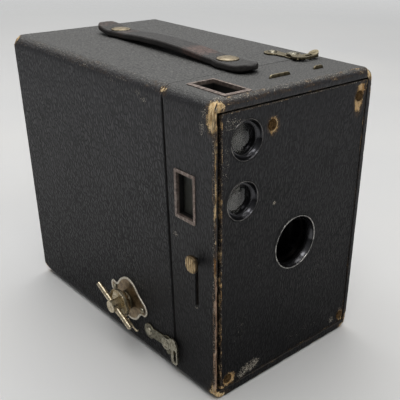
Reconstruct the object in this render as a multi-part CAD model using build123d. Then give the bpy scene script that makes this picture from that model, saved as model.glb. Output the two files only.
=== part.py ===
from build123d import *
import math
import os

# A leatherette-covered box camera for roll film, with a pull-off front section.
# Millimetres.  +Z up, the front face looks along -Y, the winding key is on the -X (left) side.
# Origin: centre of the underside.  A "depth" (d) is the distance behind the front face.

os.makedirs("parts", exist_ok=True)

# ---------------------------------------------------------------- driving sizes
WIDTH = 88.5            # X, over the covering
DEPTH = 150.7           # Y, over the covering
HEIGHT = 131.5          # Z, over the covering
COVER = 0.5             # leatherette thickness
WALL = 3.0              # card and wood shell wall
EDGE_R = 5.0            # radius of the four long edges
FRONT_TOP_R = 3.2       # rounding where the top turns down into the front rim
LEFT_X, RIGHT_X = -WIDTH / 2, WIDTH / 2
INNER_LEFT_X = LEFT_X + COVER + WALL
INNER_TOP_Z = HEIGHT - COVER - WALL
RUN = 0.05              # radial running clearance

SEAM_LOW = 26.1         # depth of the parting line at the underside
SEAM_HIGH = 29.8        # depth of the parting line at the top
SEAM_GAP = 1.3          # width of the parting line at the sides
SEAM_TOP_GAP = 0.25     # width of the parting line across the top

# Openings and axes on the front, x and z
PANEL = (-40.3, 41.4, 4.2, 126.4)     # front panel x0, x1, z0, z1
MOUTH = (-40.75, 41.65, 3.9, 127.2)   # opening of the front frame, x0, x1, z0, z1
NAILS = [(-15.1, 117.8), (36.6, 120.0), (-36.4, 8.5), (38.6, 8.2)]
NAIL_R = 0.7
LENS = (1.9, 62.4)                    # taking lens axis
LENS_OPEN_R = 12.1
FINDERS = ((-27.9, 114.6), (-29.5, 90.7))   # upper and lower finder lens axes
FINDER_R = 8.2
TOP_WIN = (-36.9, -23.5, 2.7, 24.5)   # x0, x1, d0, d1
SIDE_WIN = (10.7, 23.3, 80.8, 101.2)  # d0, d1, z0, z1
WINDOW_LAP = 0.2                      # window rim overlap beyond its collar

# Spools and rollers, d and z
KEY = (63.0, 22.2)                    # winding key and take-up spool axis
SUPPLY = (63.0, 109.6)
ROLL_D, ROLL_LOW, ROLL_HIGH = 140.5, 8.2, 122.9
ROLL_PIN_R = 1.0
SHAFT_R = 3.0
SPOOL_PIN_R = 2.42
CARRIER_IN, CARRIER_OUT = 36.6, 39.0  # carrier side plates, distance from x = 0

# Outside hardware
PLATE_T = 0.8                         # plates on the covering
PLATE_X = LEFT_X - PLATE_T            # outer face of the plates on the left side
PLATE_Z = HEIGHT + PLATE_T            # outer face of the plates on the top
LATCH_SIDE = ((45.8, 13.2), (31.9, 14.2))   # rear rivet, pivot: d, z
LATCH_TOP = ((27.2, 43.4), (28.6, 32.0))    # rear rivet, pivot: x, d
LATCH_RIVET_R = 1.2
LATCH_PIVOT_R = 1.5
CATCH_SIDE = (25.0, 10.9)             # latch stud d, z
CATCH_TOP = (31.9, 25.1)              # latch stud x, d
CATCH_R = 0.6
CATCH_END_X, CATCH_END_Z = -42.5, 129
BEARING_R = 5.0
PLATE_RIVETS = ((73.2, 25.2), (50.8, 22.0))   # escutcheon rivets d, z
PLATE_RIVET_R = 0.8
PLATE_RIVET_END = -41.5
CLIP_FEET = ((63.2, 11.0), (56.2, 7.6))       # wire clip feet d, z
CLIP_WIRE_R = 0.55
CLIP_END = -42.0
STRAP_FRONT = (-6.0, 36.0)            # strap studs x, d
STRAP_REAR = (-3.8, 117.0)
STRAP_T = 2.7
STUD_R = 1.5
STUD_HEAD_R = 4.7
WASHER_T = 0.8
RED_WINDOW = (0, 88)                  # x, z
RED_WINDOW_R = 6.0
TRIPOD_D = 93.4                       # tripod bushes, depth
TRIPOD_R = 3.175                      # 1/4 inch socket
BUSH_R = 5.5

# Shutter, x and z; the *_D pairs are front and rear depths
LEVER = (-10.0, 55.7)                 # lever pivot
LEVER_D = (10.2, 11.0)
DISC = (17.0, 54.0)                   # disc pivot
DISC_R = 23.5
DISC_D = (12.4, 13.0)
PIVOT_R = 1.5
STRIP_D = (11.4, 12.0)
SHUTTER_PLATE_D = (13.4, 14.4)
LENS_BOARD_D = (14.4, 17.4)

# Cutter spans that pass right through a wall
THROUGH_LEFT = (-50, -39)
THROUGH_TOP = (126, 140)


# ---------------------------------------------------------------- helpers
def y_at(depth):
    return depth - DEPTH / 2


def block(x0, x1, d0, d1, z0, z1):
    centre = Pos((x0 + x1) / 2, y_at((d0 + d1) / 2), (z0 + z1) / 2)
    return centre * Box(x1 - x0, d1 - d0, z1 - z0)


def front_block(outline, d0, d1):
    """Block over an x0, x1, z0, z1 outline between two depths."""
    x0, x1, z0, z1 = outline
    return block(x0, x1, d0, d1, z0, z1)


def inset(outline, margin):
    low_a, high_a, low_b, high_b = outline
    return (low_a + margin, high_a - margin, low_b + margin, high_b - margin)


def rod_x(d, z, r, x0, x1):
    return Pos((x0 + x1) / 2, y_at(d), z) * Rot(0, 90, 0) * Cylinder(r, x1 - x0)


def rod_y(x, z, r, d0, d1):
    return Pos(x, y_at((d0 + d1) / 2), z) * Rot(90, 0, 0) * Cylinder(r, d1 - d0)


def rod_z(x, d, r, z0, z1):
    return Pos(x, y_at(d), (z0 + z1) / 2) * Cylinder(r, z1 - z0)


def left_hole(centre, r):
    return rod_x(*centre, r, *THROUGH_LEFT)


def top_hole(centre, r):
    return rod_z(*centre, r, *THROUGH_TOP)


def body_block(skin, d0, d1):
    """The camera's rounded section, a distance skin inside the covering."""
    body = block(LEFT_X + skin, RIGHT_X - skin, d0, d1, skin, HEIGHT - skin)
    return fillet(body.edges().filter_by(Axis.Y), EDGE_R - skin)


def revolved(plane, points, axis):
    with BuildPart() as turned:
        with BuildSketch(plane):
            with BuildLine():
                Polyline(*points, close=True)
            make_face()
        revolve(axis=axis)
    return turned.part


def turned_x(d, z, points):
    """Revolve (radius, x) points about the line along X through d, z."""
    return Pos(0, y_at(d), z) * revolved(Plane.XY, [(x, r) for r, x in points], Axis.X)


def turned_y(x, z, points):
    """Revolve (radius, depth) points about the line along Y through x, z."""
    return Pos(x, 0, z) * revolved(Plane.XY, [(r, y_at(d)) for r, d in points], Axis.Y)


def turned_z(x, d, points):
    """Revolve (radius, z) points about the line along Z through x, d."""
    return Pos(x, y_at(d), 0) * revolved(Plane.XZ, points, Axis.Z)


def headed(end, face, out, shank_r, head):
    """Rivet or nail profile: a shank from end to face, then (radius, height) head points.

    out is the sign of the outward direction along the axis.
    """
    shank = [(0, end), (shank_r, end), (shank_r, face)]
    return shank + [(r, face + out * height) for r, height in head]


def plate_x(x0, x1, sketch):
    """Extrude a sketch drawn in (d, z) from x0 to x1."""
    plane = Plane(origin=(x0, y_at(0), 0), x_dir=(0, 1, 0), z_dir=(1, 0, 0))
    return extrude(plane * sketch, amount=x1 - x0)


def plate_y(d0, d1, sketch):
    """Extrude a sketch drawn in (x, z) from depth d1 forward to d0."""
    plane = Plane(origin=(0, y_at(d1), 0), x_dir=(1, 0, 0), z_dir=(0, -1, 0))
    return extrude(plane * sketch, amount=d1 - d0)


def plate_z(z0, z1, sketch):
    """Extrude a sketch drawn in (x, d) from z0 to z1."""
    plane = Plane(origin=(0, y_at(0), z0), x_dir=(1, 0, 0), z_dir=(0, 0, 1))
    return extrude(plane * sketch, amount=z1 - z0)


def at(x, y, shape):
    return Pos(x, y) * shape


def bar(start, end, width):
    """Flat square-ended bar between two points."""
    dx, dy = end[0] - start[0], end[1] - start[1]
    middle = Pos((start[0] + end[0]) / 2, (start[1] + end[1]) / 2)
    turn = Rot(0, 0, math.degrees(math.atan2(dy, dx)))
    return middle * turn * Rectangle(math.hypot(dx, dy), width)


def group(*shapes):
    return Compound(children=[solid for shape in shapes for solid in shape.solids()])


def save(name, shape):
    solids = shape.solids()
    shape = solids[0] if len(solids) == 1 else Compound(children=list(solids))
    shape.label = name
    export_step(shape, f"parts/{name}.step")


# ---------------------------------------------------------------- parting plane
# The plane leans back towards the top; its gap narrows across the top wall.
LEAN = math.degrees(math.atan2(SEAM_HIGH - SEAM_LOW, HEIGHT))
TOP_BAND = block(-60, 60, -10, 60, HEIGHT - 4.5, HEIGHT + 5)


def beyond_seam(gap, side):
    """A big block on one side of the parting plane: side is 1 for rear, -1 for front."""
    return (Pos(0, y_at(SEAM_LOW), 0) * Rot(-LEAN, 0, 0)
            * Pos(0, side * (gap / 2 + 100), HEIGHT / 2) * Box(200, 200, 300))


def keep_side(side):
    return beyond_seam(SEAM_GAP, side) + (beyond_seam(SEAM_TOP_GAP, side) & TOP_BAND)


KEEP_REAR = keep_side(1)
KEEP_FRONT = keep_side(-1)

# ================================================================ rear casing
shell_solid = body_block(COVER, 5, DEPTH - COVER)
casing = shell_solid - body_block(COVER + WALL, 0, DEPTH - COVER - WALL)
casing = casing & KEEP_REAR

cover_blank = body_block(0, 5, DEPTH)
back_face = cover_blank.faces().sort_by(Axis.Y)[-1]
cover_blank = fillet(back_face.edges(), 1.2)
casing_cover = (cover_blank - shell_solid) & KEEP_REAR

casing_holes = [left_hole(KEY, BEARING_R)]
casing_holes += [left_hole(centre, LATCH_RIVET_R) for centre in LATCH_SIDE]
casing_holes += [top_hole(centre, LATCH_RIVET_R) for centre in LATCH_TOP]
casing_holes += [top_hole(centre, STUD_R) for centre in (STRAP_FRONT, STRAP_REAR)]
casing_holes += [
    rod_z(0, TRIPOD_D, BUSH_R, -2, 4),
    rod_x(TRIPOD_D, HEIGHT / 2, BUSH_R, 40, 46),
    rod_y(*RED_WINDOW, RED_WINDOW_R, 146, 152),
]
casing_holes += [rod_x(*c, PLATE_RIVET_R, -50, PLATE_RIVET_END) for c in PLATE_RIVETS]
casing_holes += [rod_x(*c, CLIP_WIRE_R, -50, CLIP_END) for c in CLIP_FEET]
for hole in casing_holes:
    casing = casing - hole
    casing_cover = casing_cover - hole
save("casing_shell", casing)
save("casing_cover", casing_cover)

# ---- red window and its ring in the back wall
SLEEVE_IN_R = 5.3
window_rim = turned_y(*RED_WINDOW, [
    (RED_WINDOW_R, DEPTH + 0.6), (8.6, DEPTH + 0.6), (9.0, DEPTH), (RED_WINDOW_R, DEPTH)])
window_sleeve = turned_y(*RED_WINDOW, [
    (SLEEVE_IN_R, DEPTH - 2.4), (RED_WINDOW_R, DEPTH - 2.4),
    (RED_WINDOW_R, DEPTH + 0.6), (SLEEVE_IN_R, DEPTH + 0.6)])
save("window_ring", window_rim + window_sleeve)
save("red_window", rod_y(*RED_WINDOW, RED_WINDOW_R - 0.05, DEPTH - 3.4, DEPTH - 2.45))


# ---- flanged tripod bushes, underside and right side
def bush_profile(face, inward, length):
    flange = face + inward * 3.5
    end = face + inward * length
    return [(TRIPOD_R, face), (BUSH_R, face), (BUSH_R, flange),
            (8, flange), (8, end), (TRIPOD_R, end)]


save("tripod_bushes", group(
    turned_z(0, TRIPOD_D, bush_profile(0, 1, 5.0)),
    turned_x(TRIPOD_D, HEIGHT / 2, bush_profile(RIGHT_X, -1, 4.75))))

# ---- lobed escutcheon under the key: outline as (d, z)
ESCUTCHEON = [
    (47.1, 22.3), (48.3, 25.2), (52.9, 28.8), (57.3, 33.4), (63.0, 34.7), (68.4, 31.6),
    (71.6, 27.9), (75.4, 28.0), (76.6, 25.1), (75.4, 22.2), (71.9, 21.0), (68.6, 15.9),
    (62.1, 12.3), (56.3, 13.9), (52.3, 18.4), (48.7, 19.2)]
with BuildSketch() as escutcheon_face:
    with BuildLine():
        Spline(*ESCUTCHEON, periodic=True)
    make_face()
escutcheon = plate_x(PLATE_X, LEFT_X, escutcheon_face.sketch) - left_hole(KEY, 4.2)
for centre in PLATE_RIVETS:
    escutcheon = escutcheon - left_hole(centre, PLATE_RIVET_R)
save("key_escutcheon", escutcheon)


def dome_rivet(centre, head_r, head_t, shank_r, end):
    """A domed rivet on a plate of the left side, its shank ending at x=end."""
    head = [(head_r, 0), (head_r * 0.86, head_t * 0.6), (head_r * 0.5, head_t * 0.92),
            (0, head_t)]
    return turned_x(*centre, headed(end, PLATE_X, -1, shank_r, head))


save("escutcheon_rivets", group(
    *[dome_rivet(c, 1.3, 0.6, PLATE_RIVET_R, PLATE_RIVET_END) for c in PLATE_RIVETS]))

# ---- key bearing: a plain tube in the wall
save("key_bearing",
     rod_x(*KEY, BEARING_R, LEFT_X, INNER_LEFT_X) - left_hole(KEY, SHAFT_R + RUN))

# ---- wire clip beside the key
CLIP_OUT = -45.3        # x of the outer run
with BuildPart() as clip:
    with BuildLine():
        FilletPolyline(
            *[(x, y_at(foot[0]), foot[1])
              for x, foot in zip((CLIP_END, CLIP_OUT, CLIP_OUT, CLIP_END),
                                 (CLIP_FEET[0], CLIP_FEET[0], CLIP_FEET[1], CLIP_FEET[1]))],
            radius=0.9)
    with BuildSketch(Plane(origin=(CLIP_END, y_at(CLIP_FEET[0][0]), CLIP_FEET[0][1]),
                           z_dir=(-1, 0, 0))):
        Circle(CLIP_WIRE_R)
    sweep()
save("key_clip", clip.part)


# ---- latch plates
def latch_outline(rear, pivot):
    return at(*rear, Circle(3.9)) + at(*pivot, Circle(3.6)) + bar(rear, pivot, 5.2)


EAR = (31.3, 9.7)       # small lobe below the side pivot, d, z
side_outline = latch_outline(*LATCH_SIDE) + at(*EAR, Circle(1.5)) + bar(LATCH_SIDE[1], EAR, 3.0)
side_plate = plate_x(PLATE_X, LEFT_X, side_outline)
for centre in LATCH_SIDE:
    side_plate = side_plate - left_hole(centre, LATCH_RIVET_R)
save("side_latch_plate", side_plate)

# the top plate is cut back at the parting line
top_outline = latch_outline(*LATCH_TOP) \
    - Pos(LATCH_TOP[1][0], SEAM_HIGH + 0.2 - 5) * Rectangle(20, 10)
top_plate = plate_z(HEIGHT, PLATE_Z, top_outline)
for centre in LATCH_TOP:
    top_plate = top_plate - top_hole(centre, LATCH_RIVET_R)
save("top_latch_plate", top_plate)

# ---- latch rivets: heads as (radius, height above the plate)
PIVOT_HEAD = [(LATCH_PIVOT_R, 0), (LATCH_PIVOT_R, 1.12), (2.5, 1.12), (2.25, 1.45),
              (1.3, 1.62), (0, 1.66)]
PLAIN_HEAD = [(2.1, 0), (1.8, 0.5), (1.0, 0.78), (0, 0.85)]
RIVET_END_X = INNER_LEFT_X - 0.01
RIVET_END_Z = INNER_TOP_Z + 0.01
save("latch_rivets", group(
    dome_rivet(LATCH_SIDE[0], 2.1, 0.85, LATCH_RIVET_R, RIVET_END_X),
    turned_x(*LATCH_SIDE[1], headed(RIVET_END_X, PLATE_X, -1, LATCH_RIVET_R, PIVOT_HEAD)),
    turned_z(*LATCH_TOP[0], headed(RIVET_END_Z, PLATE_Z, 1, LATCH_RIVET_R, PLAIN_HEAD)),
    turned_z(*LATCH_TOP[1], headed(RIVET_END_Z, PLATE_Z, 1, LATCH_RIVET_R, PIVOT_HEAD))))

# ---- latch hooks: slotted loops that swing off the studs of the front section
HOOK_GAP = 0.06         # from plate to hook
HOOK_T = 1.0
HOOK_ELBOW = (-5.0, 2.2)
LOOP_END = (-6.3, -5.9)
LOOP_W = 4.6
SLOT = ((-6.8, -1.2), (-6.8, -5.9))
SLOT_W = 1.9


def hook_outline():
    """Flat hook about its pivot: an arm out to a shoulder, then a slotted loop hanging down."""
    hook = Circle(3.0) + bar((0, 0), HOOK_ELBOW, LOOP_W) + at(*HOOK_ELBOW, Circle(2.9)) \
        + bar((-6.2, 1.6), LOOP_END, LOOP_W) + at(*LOOP_END, Circle(LOOP_W / 2)) \
        + at(-5.6, 1.4, Circle(2.9))
    return hook - bar(*SLOT, SLOT_W) - at(*SLOT[0], Circle(SLOT_W / 2)) \
        - at(*SLOT[1], Circle(SLOT_W / 2))


hook_x = PLATE_X - HOOK_GAP
side_pivot = LATCH_SIDE[1]
side_hook = plate_x(hook_x - HOOK_T, hook_x, at(*side_pivot, hook_outline()))
save("side_latch_hook", side_hook - left_hole(side_pivot, LATCH_PIVOT_R + RUN))

hook_z = PLATE_Z + HOOK_GAP
top_pivot = LATCH_TOP[1]
top_hook = plate_z(hook_z, hook_z + HOOK_T, at(*top_pivot, Rot(0, 0, 90) * hook_outline()))
# the loop end, turned a quarter, curls up
end_x, end_d = top_pivot[0] - LOOP_END[1], top_pivot[1] + LOOP_END[0]
curl = plate_z(hook_z, HEIGHT + 4,
               at(end_x, end_d, Circle(LOOP_W / 2))
               + bar((end_x - 0.2, end_d), (end_x + 0.4, end_d), LOOP_W))
curl_slab = Pos(end_x - 0.9, y_at(end_d), hook_z + HOOK_T / 2) * Rot(0, -24, 0) \
    * Pos(10, 0, 0.2) * Box(20, 20, 0.9)
top_hook = top_hook + (curl & curl_slab)
save("top_latch_hook", top_hook - top_hole(top_pivot, LATCH_PIVOT_R + RUN))

# ---- handle strap, in a frame at its front stud with y running back along the strap
strap_angle = math.degrees(math.atan2(STRAP_REAR[0] - STRAP_FRONT[0],
                                      STRAP_REAR[1] - STRAP_FRONT[1]))
strap_plan = at(0, -9.2, Circle(6.3)) + at(0, 0, Circle(6.6)) \
    + at(0, -4.6, Rectangle(12.7, 9.2)) + at(0, 39, Rectangle(11.0, 84)) \
    + at(0, 82.0, Circle(6.3)) + at(0, 90.4, Circle(6.2)) + at(0, 86.2, Rectangle(12.5, 8.4))
# underside of the strap: y, height above the camera top
STRAP_CURVE = [(-17, 1.0), (-9, 0.45), (0, 0.4), (10, 0.8), (22, 1.6), (40, 2.2),
               (58, 1.7), (70, 0.9), (81, 0.4), (87, 0.7), (92, 1.5), (98, 2.9)]
with BuildSketch(Plane.YZ) as strap_profile:
    with BuildLine():
        lower = Spline(*STRAP_CURVE)
        upper = Spline(*[(y, z + STRAP_T) for y, z in STRAP_CURVE])
        Line(lower @ 0, upper @ 0)
        Line(lower @ 1, upper @ 1)
    make_face()
strap = extrude(strap_profile.sketch, amount=10, both=True) \
    & extrude(strap_plan, amount=10, dir=(0, 0, 1))
strap = Pos(STRAP_FRONT[0], y_at(STRAP_FRONT[1]), HEIGHT) * Rot(0, 0, -strap_angle) * strap
HEAD_Z = HEIGHT + 0.4 + STRAP_T + 0.03      # underside of the stud heads, bedded in the strap
STUD_HEAD = [(STUD_HEAD_R, 0), (4.6, 0.5), (3.3, 0.9), (1.8, 1.1), (0, 1.15)]
WASHER_Z = INNER_TOP_Z - WASHER_T
studs, washers = [], []
for centre in (STRAP_FRONT, STRAP_REAR):
    strap = strap - top_hole(centre, STUD_R + RUN) \
        - rod_z(*centre, STUD_HEAD_R + RUN, HEAD_Z, 140)
    studs.append(turned_z(*centre, headed(WASHER_Z, HEAD_Z, 1, STUD_R, STUD_HEAD)))
    washers.append(rod_z(*centre, 4.0, WASHER_Z, INNER_TOP_Z) - top_hole(centre, STUD_R))
save("handle_strap", strap)
save("handle_studs", group(*studs))
save("handle_washers", group(*washers))

# ================================================================ winding key
save("key_collar",
     rod_x(*KEY, 4.6, PLATE_X - 1.3, PLATE_X - 0.05) - left_hole(KEY, SHAFT_R + RUN))

# shaft, with a flat tongue at its inner end and a cross hole for the bar
CROSSBAR_R = 1.25
CROSSBAR_TILT = 27.1    # slopes down towards the front
crossbar_at = Pos(LEFT_X - 8.0, y_at(KEY[0]), KEY[1]) * Rot(CROSSBAR_TILT, 0, 0) * Rot(90, 0, 0)
shaft = rod_x(*KEY, SHAFT_R, LEFT_X - 10.2, -40.9)
shaft = shaft + block(-40.95, -39.2, KEY[0] - 2.8, KEY[0] + 2.8, KEY[1] - 0.6, KEY[1] + 0.6)
save("key_shaft", shaft - crossbar_at * Cylinder(CROSSBAR_R, 40))
crossbar = crossbar_at * Cylinder(CROSSBAR_R, 28.6)
save("key_crossbar", fillet(crossbar.edges().filter_by(GeomType.CIRCLE), 0.6))

# cup: radius, distance out from the escutcheon
KEY_CUP = [(SHAFT_R, 1.45), (5.2, 1.45), (7.3, 3.7), (7.3, 5.3), (6.6, 5.3),
           (6.6, 4.0), (4.9, 2.15), (SHAFT_R, 2.15)]
save("key_cup", turned_x(*KEY, [(r, PLATE_X - out) for r, out in KEY_CUP]))


# ================================================================ front section
def soft_top(skin):
    """A block with its top front edge rounded, to trim the front section with."""
    trim = block(-60, 60, skin, 60, -5, HEIGHT - skin)
    edge = trim.edges().filter_by(Axis.X).sort_by(lambda e: e.center().Z - e.center().Y)[-1]
    return fillet(edge, FRONT_TOP_R - skin)


REBATE_X = LEFT_X + 1.75    # outer side of the rebate at the panel's left edge
# nailing blocks behind the panel: x0, x1, z0, z1
NAIL_BLOCKS = [(-40.75, -33.5, 3.9, 12.0), (34.5, 41.65, 3.9, 12.0),
               (33.0, 41.65, 115.5, 127.2), (-18.6, -11.6, 113.5, 127.2)]
frame = body_block(COVER, COVER, 45) & soft_top(COVER)
frame = frame - front_block(MOUTH, -5, 60)
frame = frame - block(REBATE_X, -40, -1, 3.0, MOUTH[2], MOUTH[3])
for outline in NAIL_BLOCKS:
    frame = frame + front_block(outline, 3.65, 9.5)
frame = frame & KEEP_FRONT

front_cover = body_block(0, 0, 45)
front_cover = fillet(front_cover.faces().sort_by(Axis.Y)[0].edges(), 0.8)
front_cover = (front_cover & soft_top(0)) - (body_block(COVER, COVER, 50) & soft_top(COVER))
front_cover = front_cover - block(REBATE_X, MOUTH[1], -5, 5, MOUTH[2], MOUTH[3])
front_cover = front_cover & KEEP_FRONT

top_collar = inset(TOP_WIN, WINDOW_LAP)
side_collar = inset(SIDE_WIN, WINDOW_LAP)
front_cuts = [
    block(*top_collar, *THROUGH_TOP),
    block(*THROUGH_LEFT, *side_collar),
    block(*THROUGH_LEFT, 9.6, 11.6, 44.3, 67.1),            # shutter lever slot
    block(-6.4, 5.4, 11.15, 12.25, *THROUGH_TOP),           # stop strip slot
    block(19.05, 24.95, 11.15, 12.25, *THROUGH_TOP),        # time strip slot
    rod_x(*CATCH_SIDE, CATCH_R, -50, CATCH_END_X),
    rod_z(*CATCH_TOP, CATCH_R, CATCH_END_Z, 140),
]
for cut in front_cuts:
    frame = frame - cut
    front_cover = front_cover - cut
for nail in NAILS:
    frame = frame - rod_y(*nail, NAIL_R, 2, 8.0)
save("front_frame", frame)
save("front_cover", front_cover)

# ---- latch studs, just short of the hooks, each with a thicker tip
CATCH_OUT, CATCH_TIP, CATCH_TIP_R = 0.78, 0.3, 0.75
side_catch = rod_x(*CATCH_SIDE, CATCH_R, LEFT_X - CATCH_OUT, CATCH_END_X) \
    + rod_x(*CATCH_SIDE, CATCH_TIP_R, LEFT_X - CATCH_OUT, LEFT_X - CATCH_TIP)
top_catch = rod_z(*CATCH_TOP, CATCH_R, CATCH_END_Z, HEIGHT + CATCH_OUT) \
    + rod_z(*CATCH_TOP, CATCH_TIP_R, HEIGHT + CATCH_TIP, HEIGHT + CATCH_OUT)
save("latch_studs", group(side_catch, top_catch))

# ---- front panel and its covering
PANEL_BACK = 3.6
panel = front_block(inset(PANEL, 0.4), 0.8, PANEL_BACK)
panel_cover = front_block(PANEL, 0.3, PANEL_BACK)
panel_cover = fillet(panel_cover.edges().filter_by(Axis.Y), 1.0)
panel_cover = fillet(panel_cover.faces().sort_by(Axis.Y)[0].edges(), 0.35)
panel_cover = panel_cover - panel
panel_holes = [(LENS, LENS_OPEN_R)] + [(finder, FINDER_R) for finder in FINDERS] \
    + [(nail, NAIL_R) for nail in NAILS]
for centre, radius in panel_holes:
    hole = rod_y(*centre, radius, -1, 5)
    panel = panel - hole
    panel_cover = panel_cover - hole
save("front_panel", panel)
save("front_panel_cover", panel_cover)
NAIL_HEAD = [(2.3, 0), (2.0, 0.22), (1.0, 0.3), (0, 0.3)]
save("panel_nails", group(
    *[turned_y(*nail, headed(8.0, 0.3, -1, NAIL_R, NAIL_HEAD)) for nail in NAILS]))

# ---- finder lenses in pressed bezels: radius, depth
BEZEL = [(FINDER_R, 0.35), (FINDER_R, 4.4), (5.2, 4.4), (5.2, 4.3), (5.95, 4.3),
         (5.95, 2.5), (6.5, 2.3), (6.7, 2.6), (7.4, 0.9), (7.8, 0.35)]
FINDER_LENS = [(0, 2.35), (1.5, 2.42), (3.0, 2.62), (4.5, 2.97), (5.9, 3.4),
               (5.9, 4.28), (0, 4.28)]
save("finder_bezels", group(*[turned_y(*finder, BEZEL) for finder in FINDERS]))
save("finder_lenses", group(*[turned_y(*finder, FINDER_LENS) for finder in FINDERS]))

# ---- finder housings: thin boxes, open to the front and to the window
HOUSING_FRONT = 4.42
save("finder_housing_upper",
     block(-37.2, -19.2, HOUSING_FRONT, 24.8, 104.5, 126.9)
     - block(-36.7, -19.7, 0, 24.3, 105.0, 130))
save("finder_housing_lower",
     block(-40.7, -20.5, HOUSING_FRONT, 25.0, 80.3, 101.7)
     - block(-50, -21.0, 0, 24.5, 80.8, 101.2))

# ---- 45-degree mirrors and the screens under the windows
upper_mirror = Pos(-28.2, y_at(14.6), 114.6) * Rot(45, 0, 0) * Box(16.6, 20, 1.2)
lower_mirror = Pos(-29.8, y_at(16.0), 91.0) * Rot(0, 0, -45) * Box(19, 1.2, 19.6)
save("finder_mirrors", group(
    upper_mirror & block(-36.6, -19.8, 4.6, 24.2, 105.1, 124.2),
    lower_mirror & block(-38.4, -21.1, 5.0, 24.4, 80.9, 101.1)))
save("finder_screens", group(
    block(-36.6, -19.8, 4.8, 24.2, 125.4, 126.5),
    block(-40.2, -39.1, 9.5, 24.4, 80.9, 101.1)))

# ---- window frames: a flat rim and a collar through the wall
RIM_T = 0.35
top_frame = block(*TOP_WIN, HEIGHT, HEIGHT + RIM_T)
top_frame = fillet(top_frame.edges().filter_by(Axis.Z), 0.8)
top_frame = top_frame + block(*top_collar, 127.1, HEIGHT + 0.2)
save("top_window_frame", top_frame - block(-34.9, -24.5, 4.7, 23.4, *THROUGH_TOP))
side_frame = block(LEFT_X - RIM_T, LEFT_X, *SIDE_WIN)
side_frame = fillet(side_frame.edges().filter_by(Axis.X), 0.8)
side_frame = side_frame + block(LEFT_X - 0.2, INNER_LEFT_X, *side_collar)
save("side_window_frame", side_frame - block(*THROUGH_LEFT, 11.9, 22.1, 82.1, 99.9))

# ---- lens opening: flange ring and funnel, radius and depth
save("lens_flange_ring", turned_y(*LENS, [
    (11.6, 0.02), (12.4, 0.02), (12.5, 0.28), (LENS_OPEN_R, 0.28),
    (LENS_OPEN_R, PANEL_BACK), (11.6, PANEL_BACK)]))
save("lens_funnel", turned_y(*LENS, [
    (11.3, 3.65), (15.5, 3.65), (15.5, 4.25), (12.3, 4.25), (11.6, 6.2), (11.6, 7.0),
    (10.3, 7.0), (9.6, 9.6), (8.8, 9.6), (9.6, 6.4), (10.9, 6.4), (10.9, 5.6)]))

# ---- lens board and shutter plate, with their screws
FINDER_ROOM = block(-45, -18.8, 4, 26, 79.6, 130)   # space cleared for the finders
SCREWS = [(-12, 36), (36, 36), (-12, 100), (36, 100)]
SCREW_R = 1.0
SCREW_HEAD = [(1.9, 0), (1.6, 0.5), (0, 0.7)]
PLATE_FRONT = SHUTTER_PLATE_D[0]
lens_board = front_block(MOUTH, *LENS_BOARD_D) - FINDER_ROOM - rod_y(*LENS, 7.5, 10, 20)
shutter_plate = front_block((-15.5, 41.0, 32, 104), *SHUTTER_PLATE_D) \
    - rod_y(*LENS, 6.2, 10, 20)
for centre in SCREWS:
    hole = rod_y(*centre, SCREW_R, 12, 16.6)
    lens_board = lens_board - hole
    shutter_plate = shutter_plate - hole
save("lens_board", lens_board)
save("shutter_plate", shutter_plate)
save("board_screws", group(
    *[turned_y(*c, headed(16.5, PLATE_FRONT, -1, SCREW_R, SCREW_HEAD)) for c in SCREWS]))


# ---- shutter pivots: a shoulder behind the moving part and a head in front of it
def shutter_pivot(centre, part_d, head_out, head_r):
    front, back = part_d[0] - 0.08, part_d[1] + 0.08
    tip = part_d[0] - head_out
    return turned_y(*centre, [
        (0, PLATE_FRONT), (2.6, PLATE_FRONT), (2.6, back), (PIVOT_R, back),
        (PIVOT_R, front), (head_r, front), (head_r, tip), (0, tip)])


save("shutter_pivots", group(shutter_pivot(LEVER, LEVER_D, 0.7, 2.5),
                             shutter_pivot(DISC, DISC_D, 0.6, 2.6)))

# ---- strip guides: lipped rails on the shutter plate, as x0, lip (signed), z0, z1
RAIL_T = 0.9
rails = []
for x0, lip, z0, z1 in [(-7.4, 0.9, 80, 100), (9.9, -0.9, 80, 100),
                        (18.1, 0.8, 84, 98), (25.0, -0.8, 84, 98)]:
    x1 = x0 + RAIL_T
    rails.append(block(x0, x1, 10.8, PLATE_FRONT, z0, z1)
                 + block(min(x0, x0 + lip), max(x1, x1 + lip), 10.8, 11.2, z0, z1))
save("strip_guides", group(*rails))

# ---- taking lens and retaining ring: radius, depth
save("taking_lens", turned_y(*LENS, [
    (0, 15.6), (3.5, 15.35), (6, 14.85), (7.45, 14.5),
    (7.45, 16.9), (6, 17.15), (3.5, 17.35), (0, 17.4)]))
save("lens_retainer", turned_y(*LENS, [(6.6, 17.45), (9.6, 17.45), (9.6, 18.4), (6.6, 18.4)]))

# ---- light trap collar: a sleeve that enters the casing
SLEEVE = (-40.35, 40.35, 4.2, 127.0)    # x0, x1, z0, z1
collar = front_block(MOUTH, LENS_BOARD_D[1], 24.9) + front_block(SLEEVE, 24.0, 40.0)
collar = collar - front_block(inset(SLEEVE, 0.9), 0, 60)
save("light_trap_collar", collar - FINDER_ROOM)

# ---- light cone from the lens board to the film gate
CONE_D = (17.5, 142.4)
CONE_WALL = 1.2


def frustum(margin):
    """The cone's outer form, drawn in by margin on every side."""
    ends = ((CONE_D[0], LENS, 23.5, 23.5), (CONE_D[1], (0, HEIGHT / 2), 66.4, 108.0))
    with BuildPart() as lofted:
        for depth, centre, width, height in ends:
            with BuildSketch(Plane(origin=(centre[0], y_at(depth), centre[1]),
                                   x_dir=(1, 0, 0), z_dir=(0, 1, 0))):
                Rectangle(width - 2 * margin, height - 2 * margin)
        loft()
    return lofted.part


cone = frustum(0) - frustum(CONE_WALL)
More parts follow.
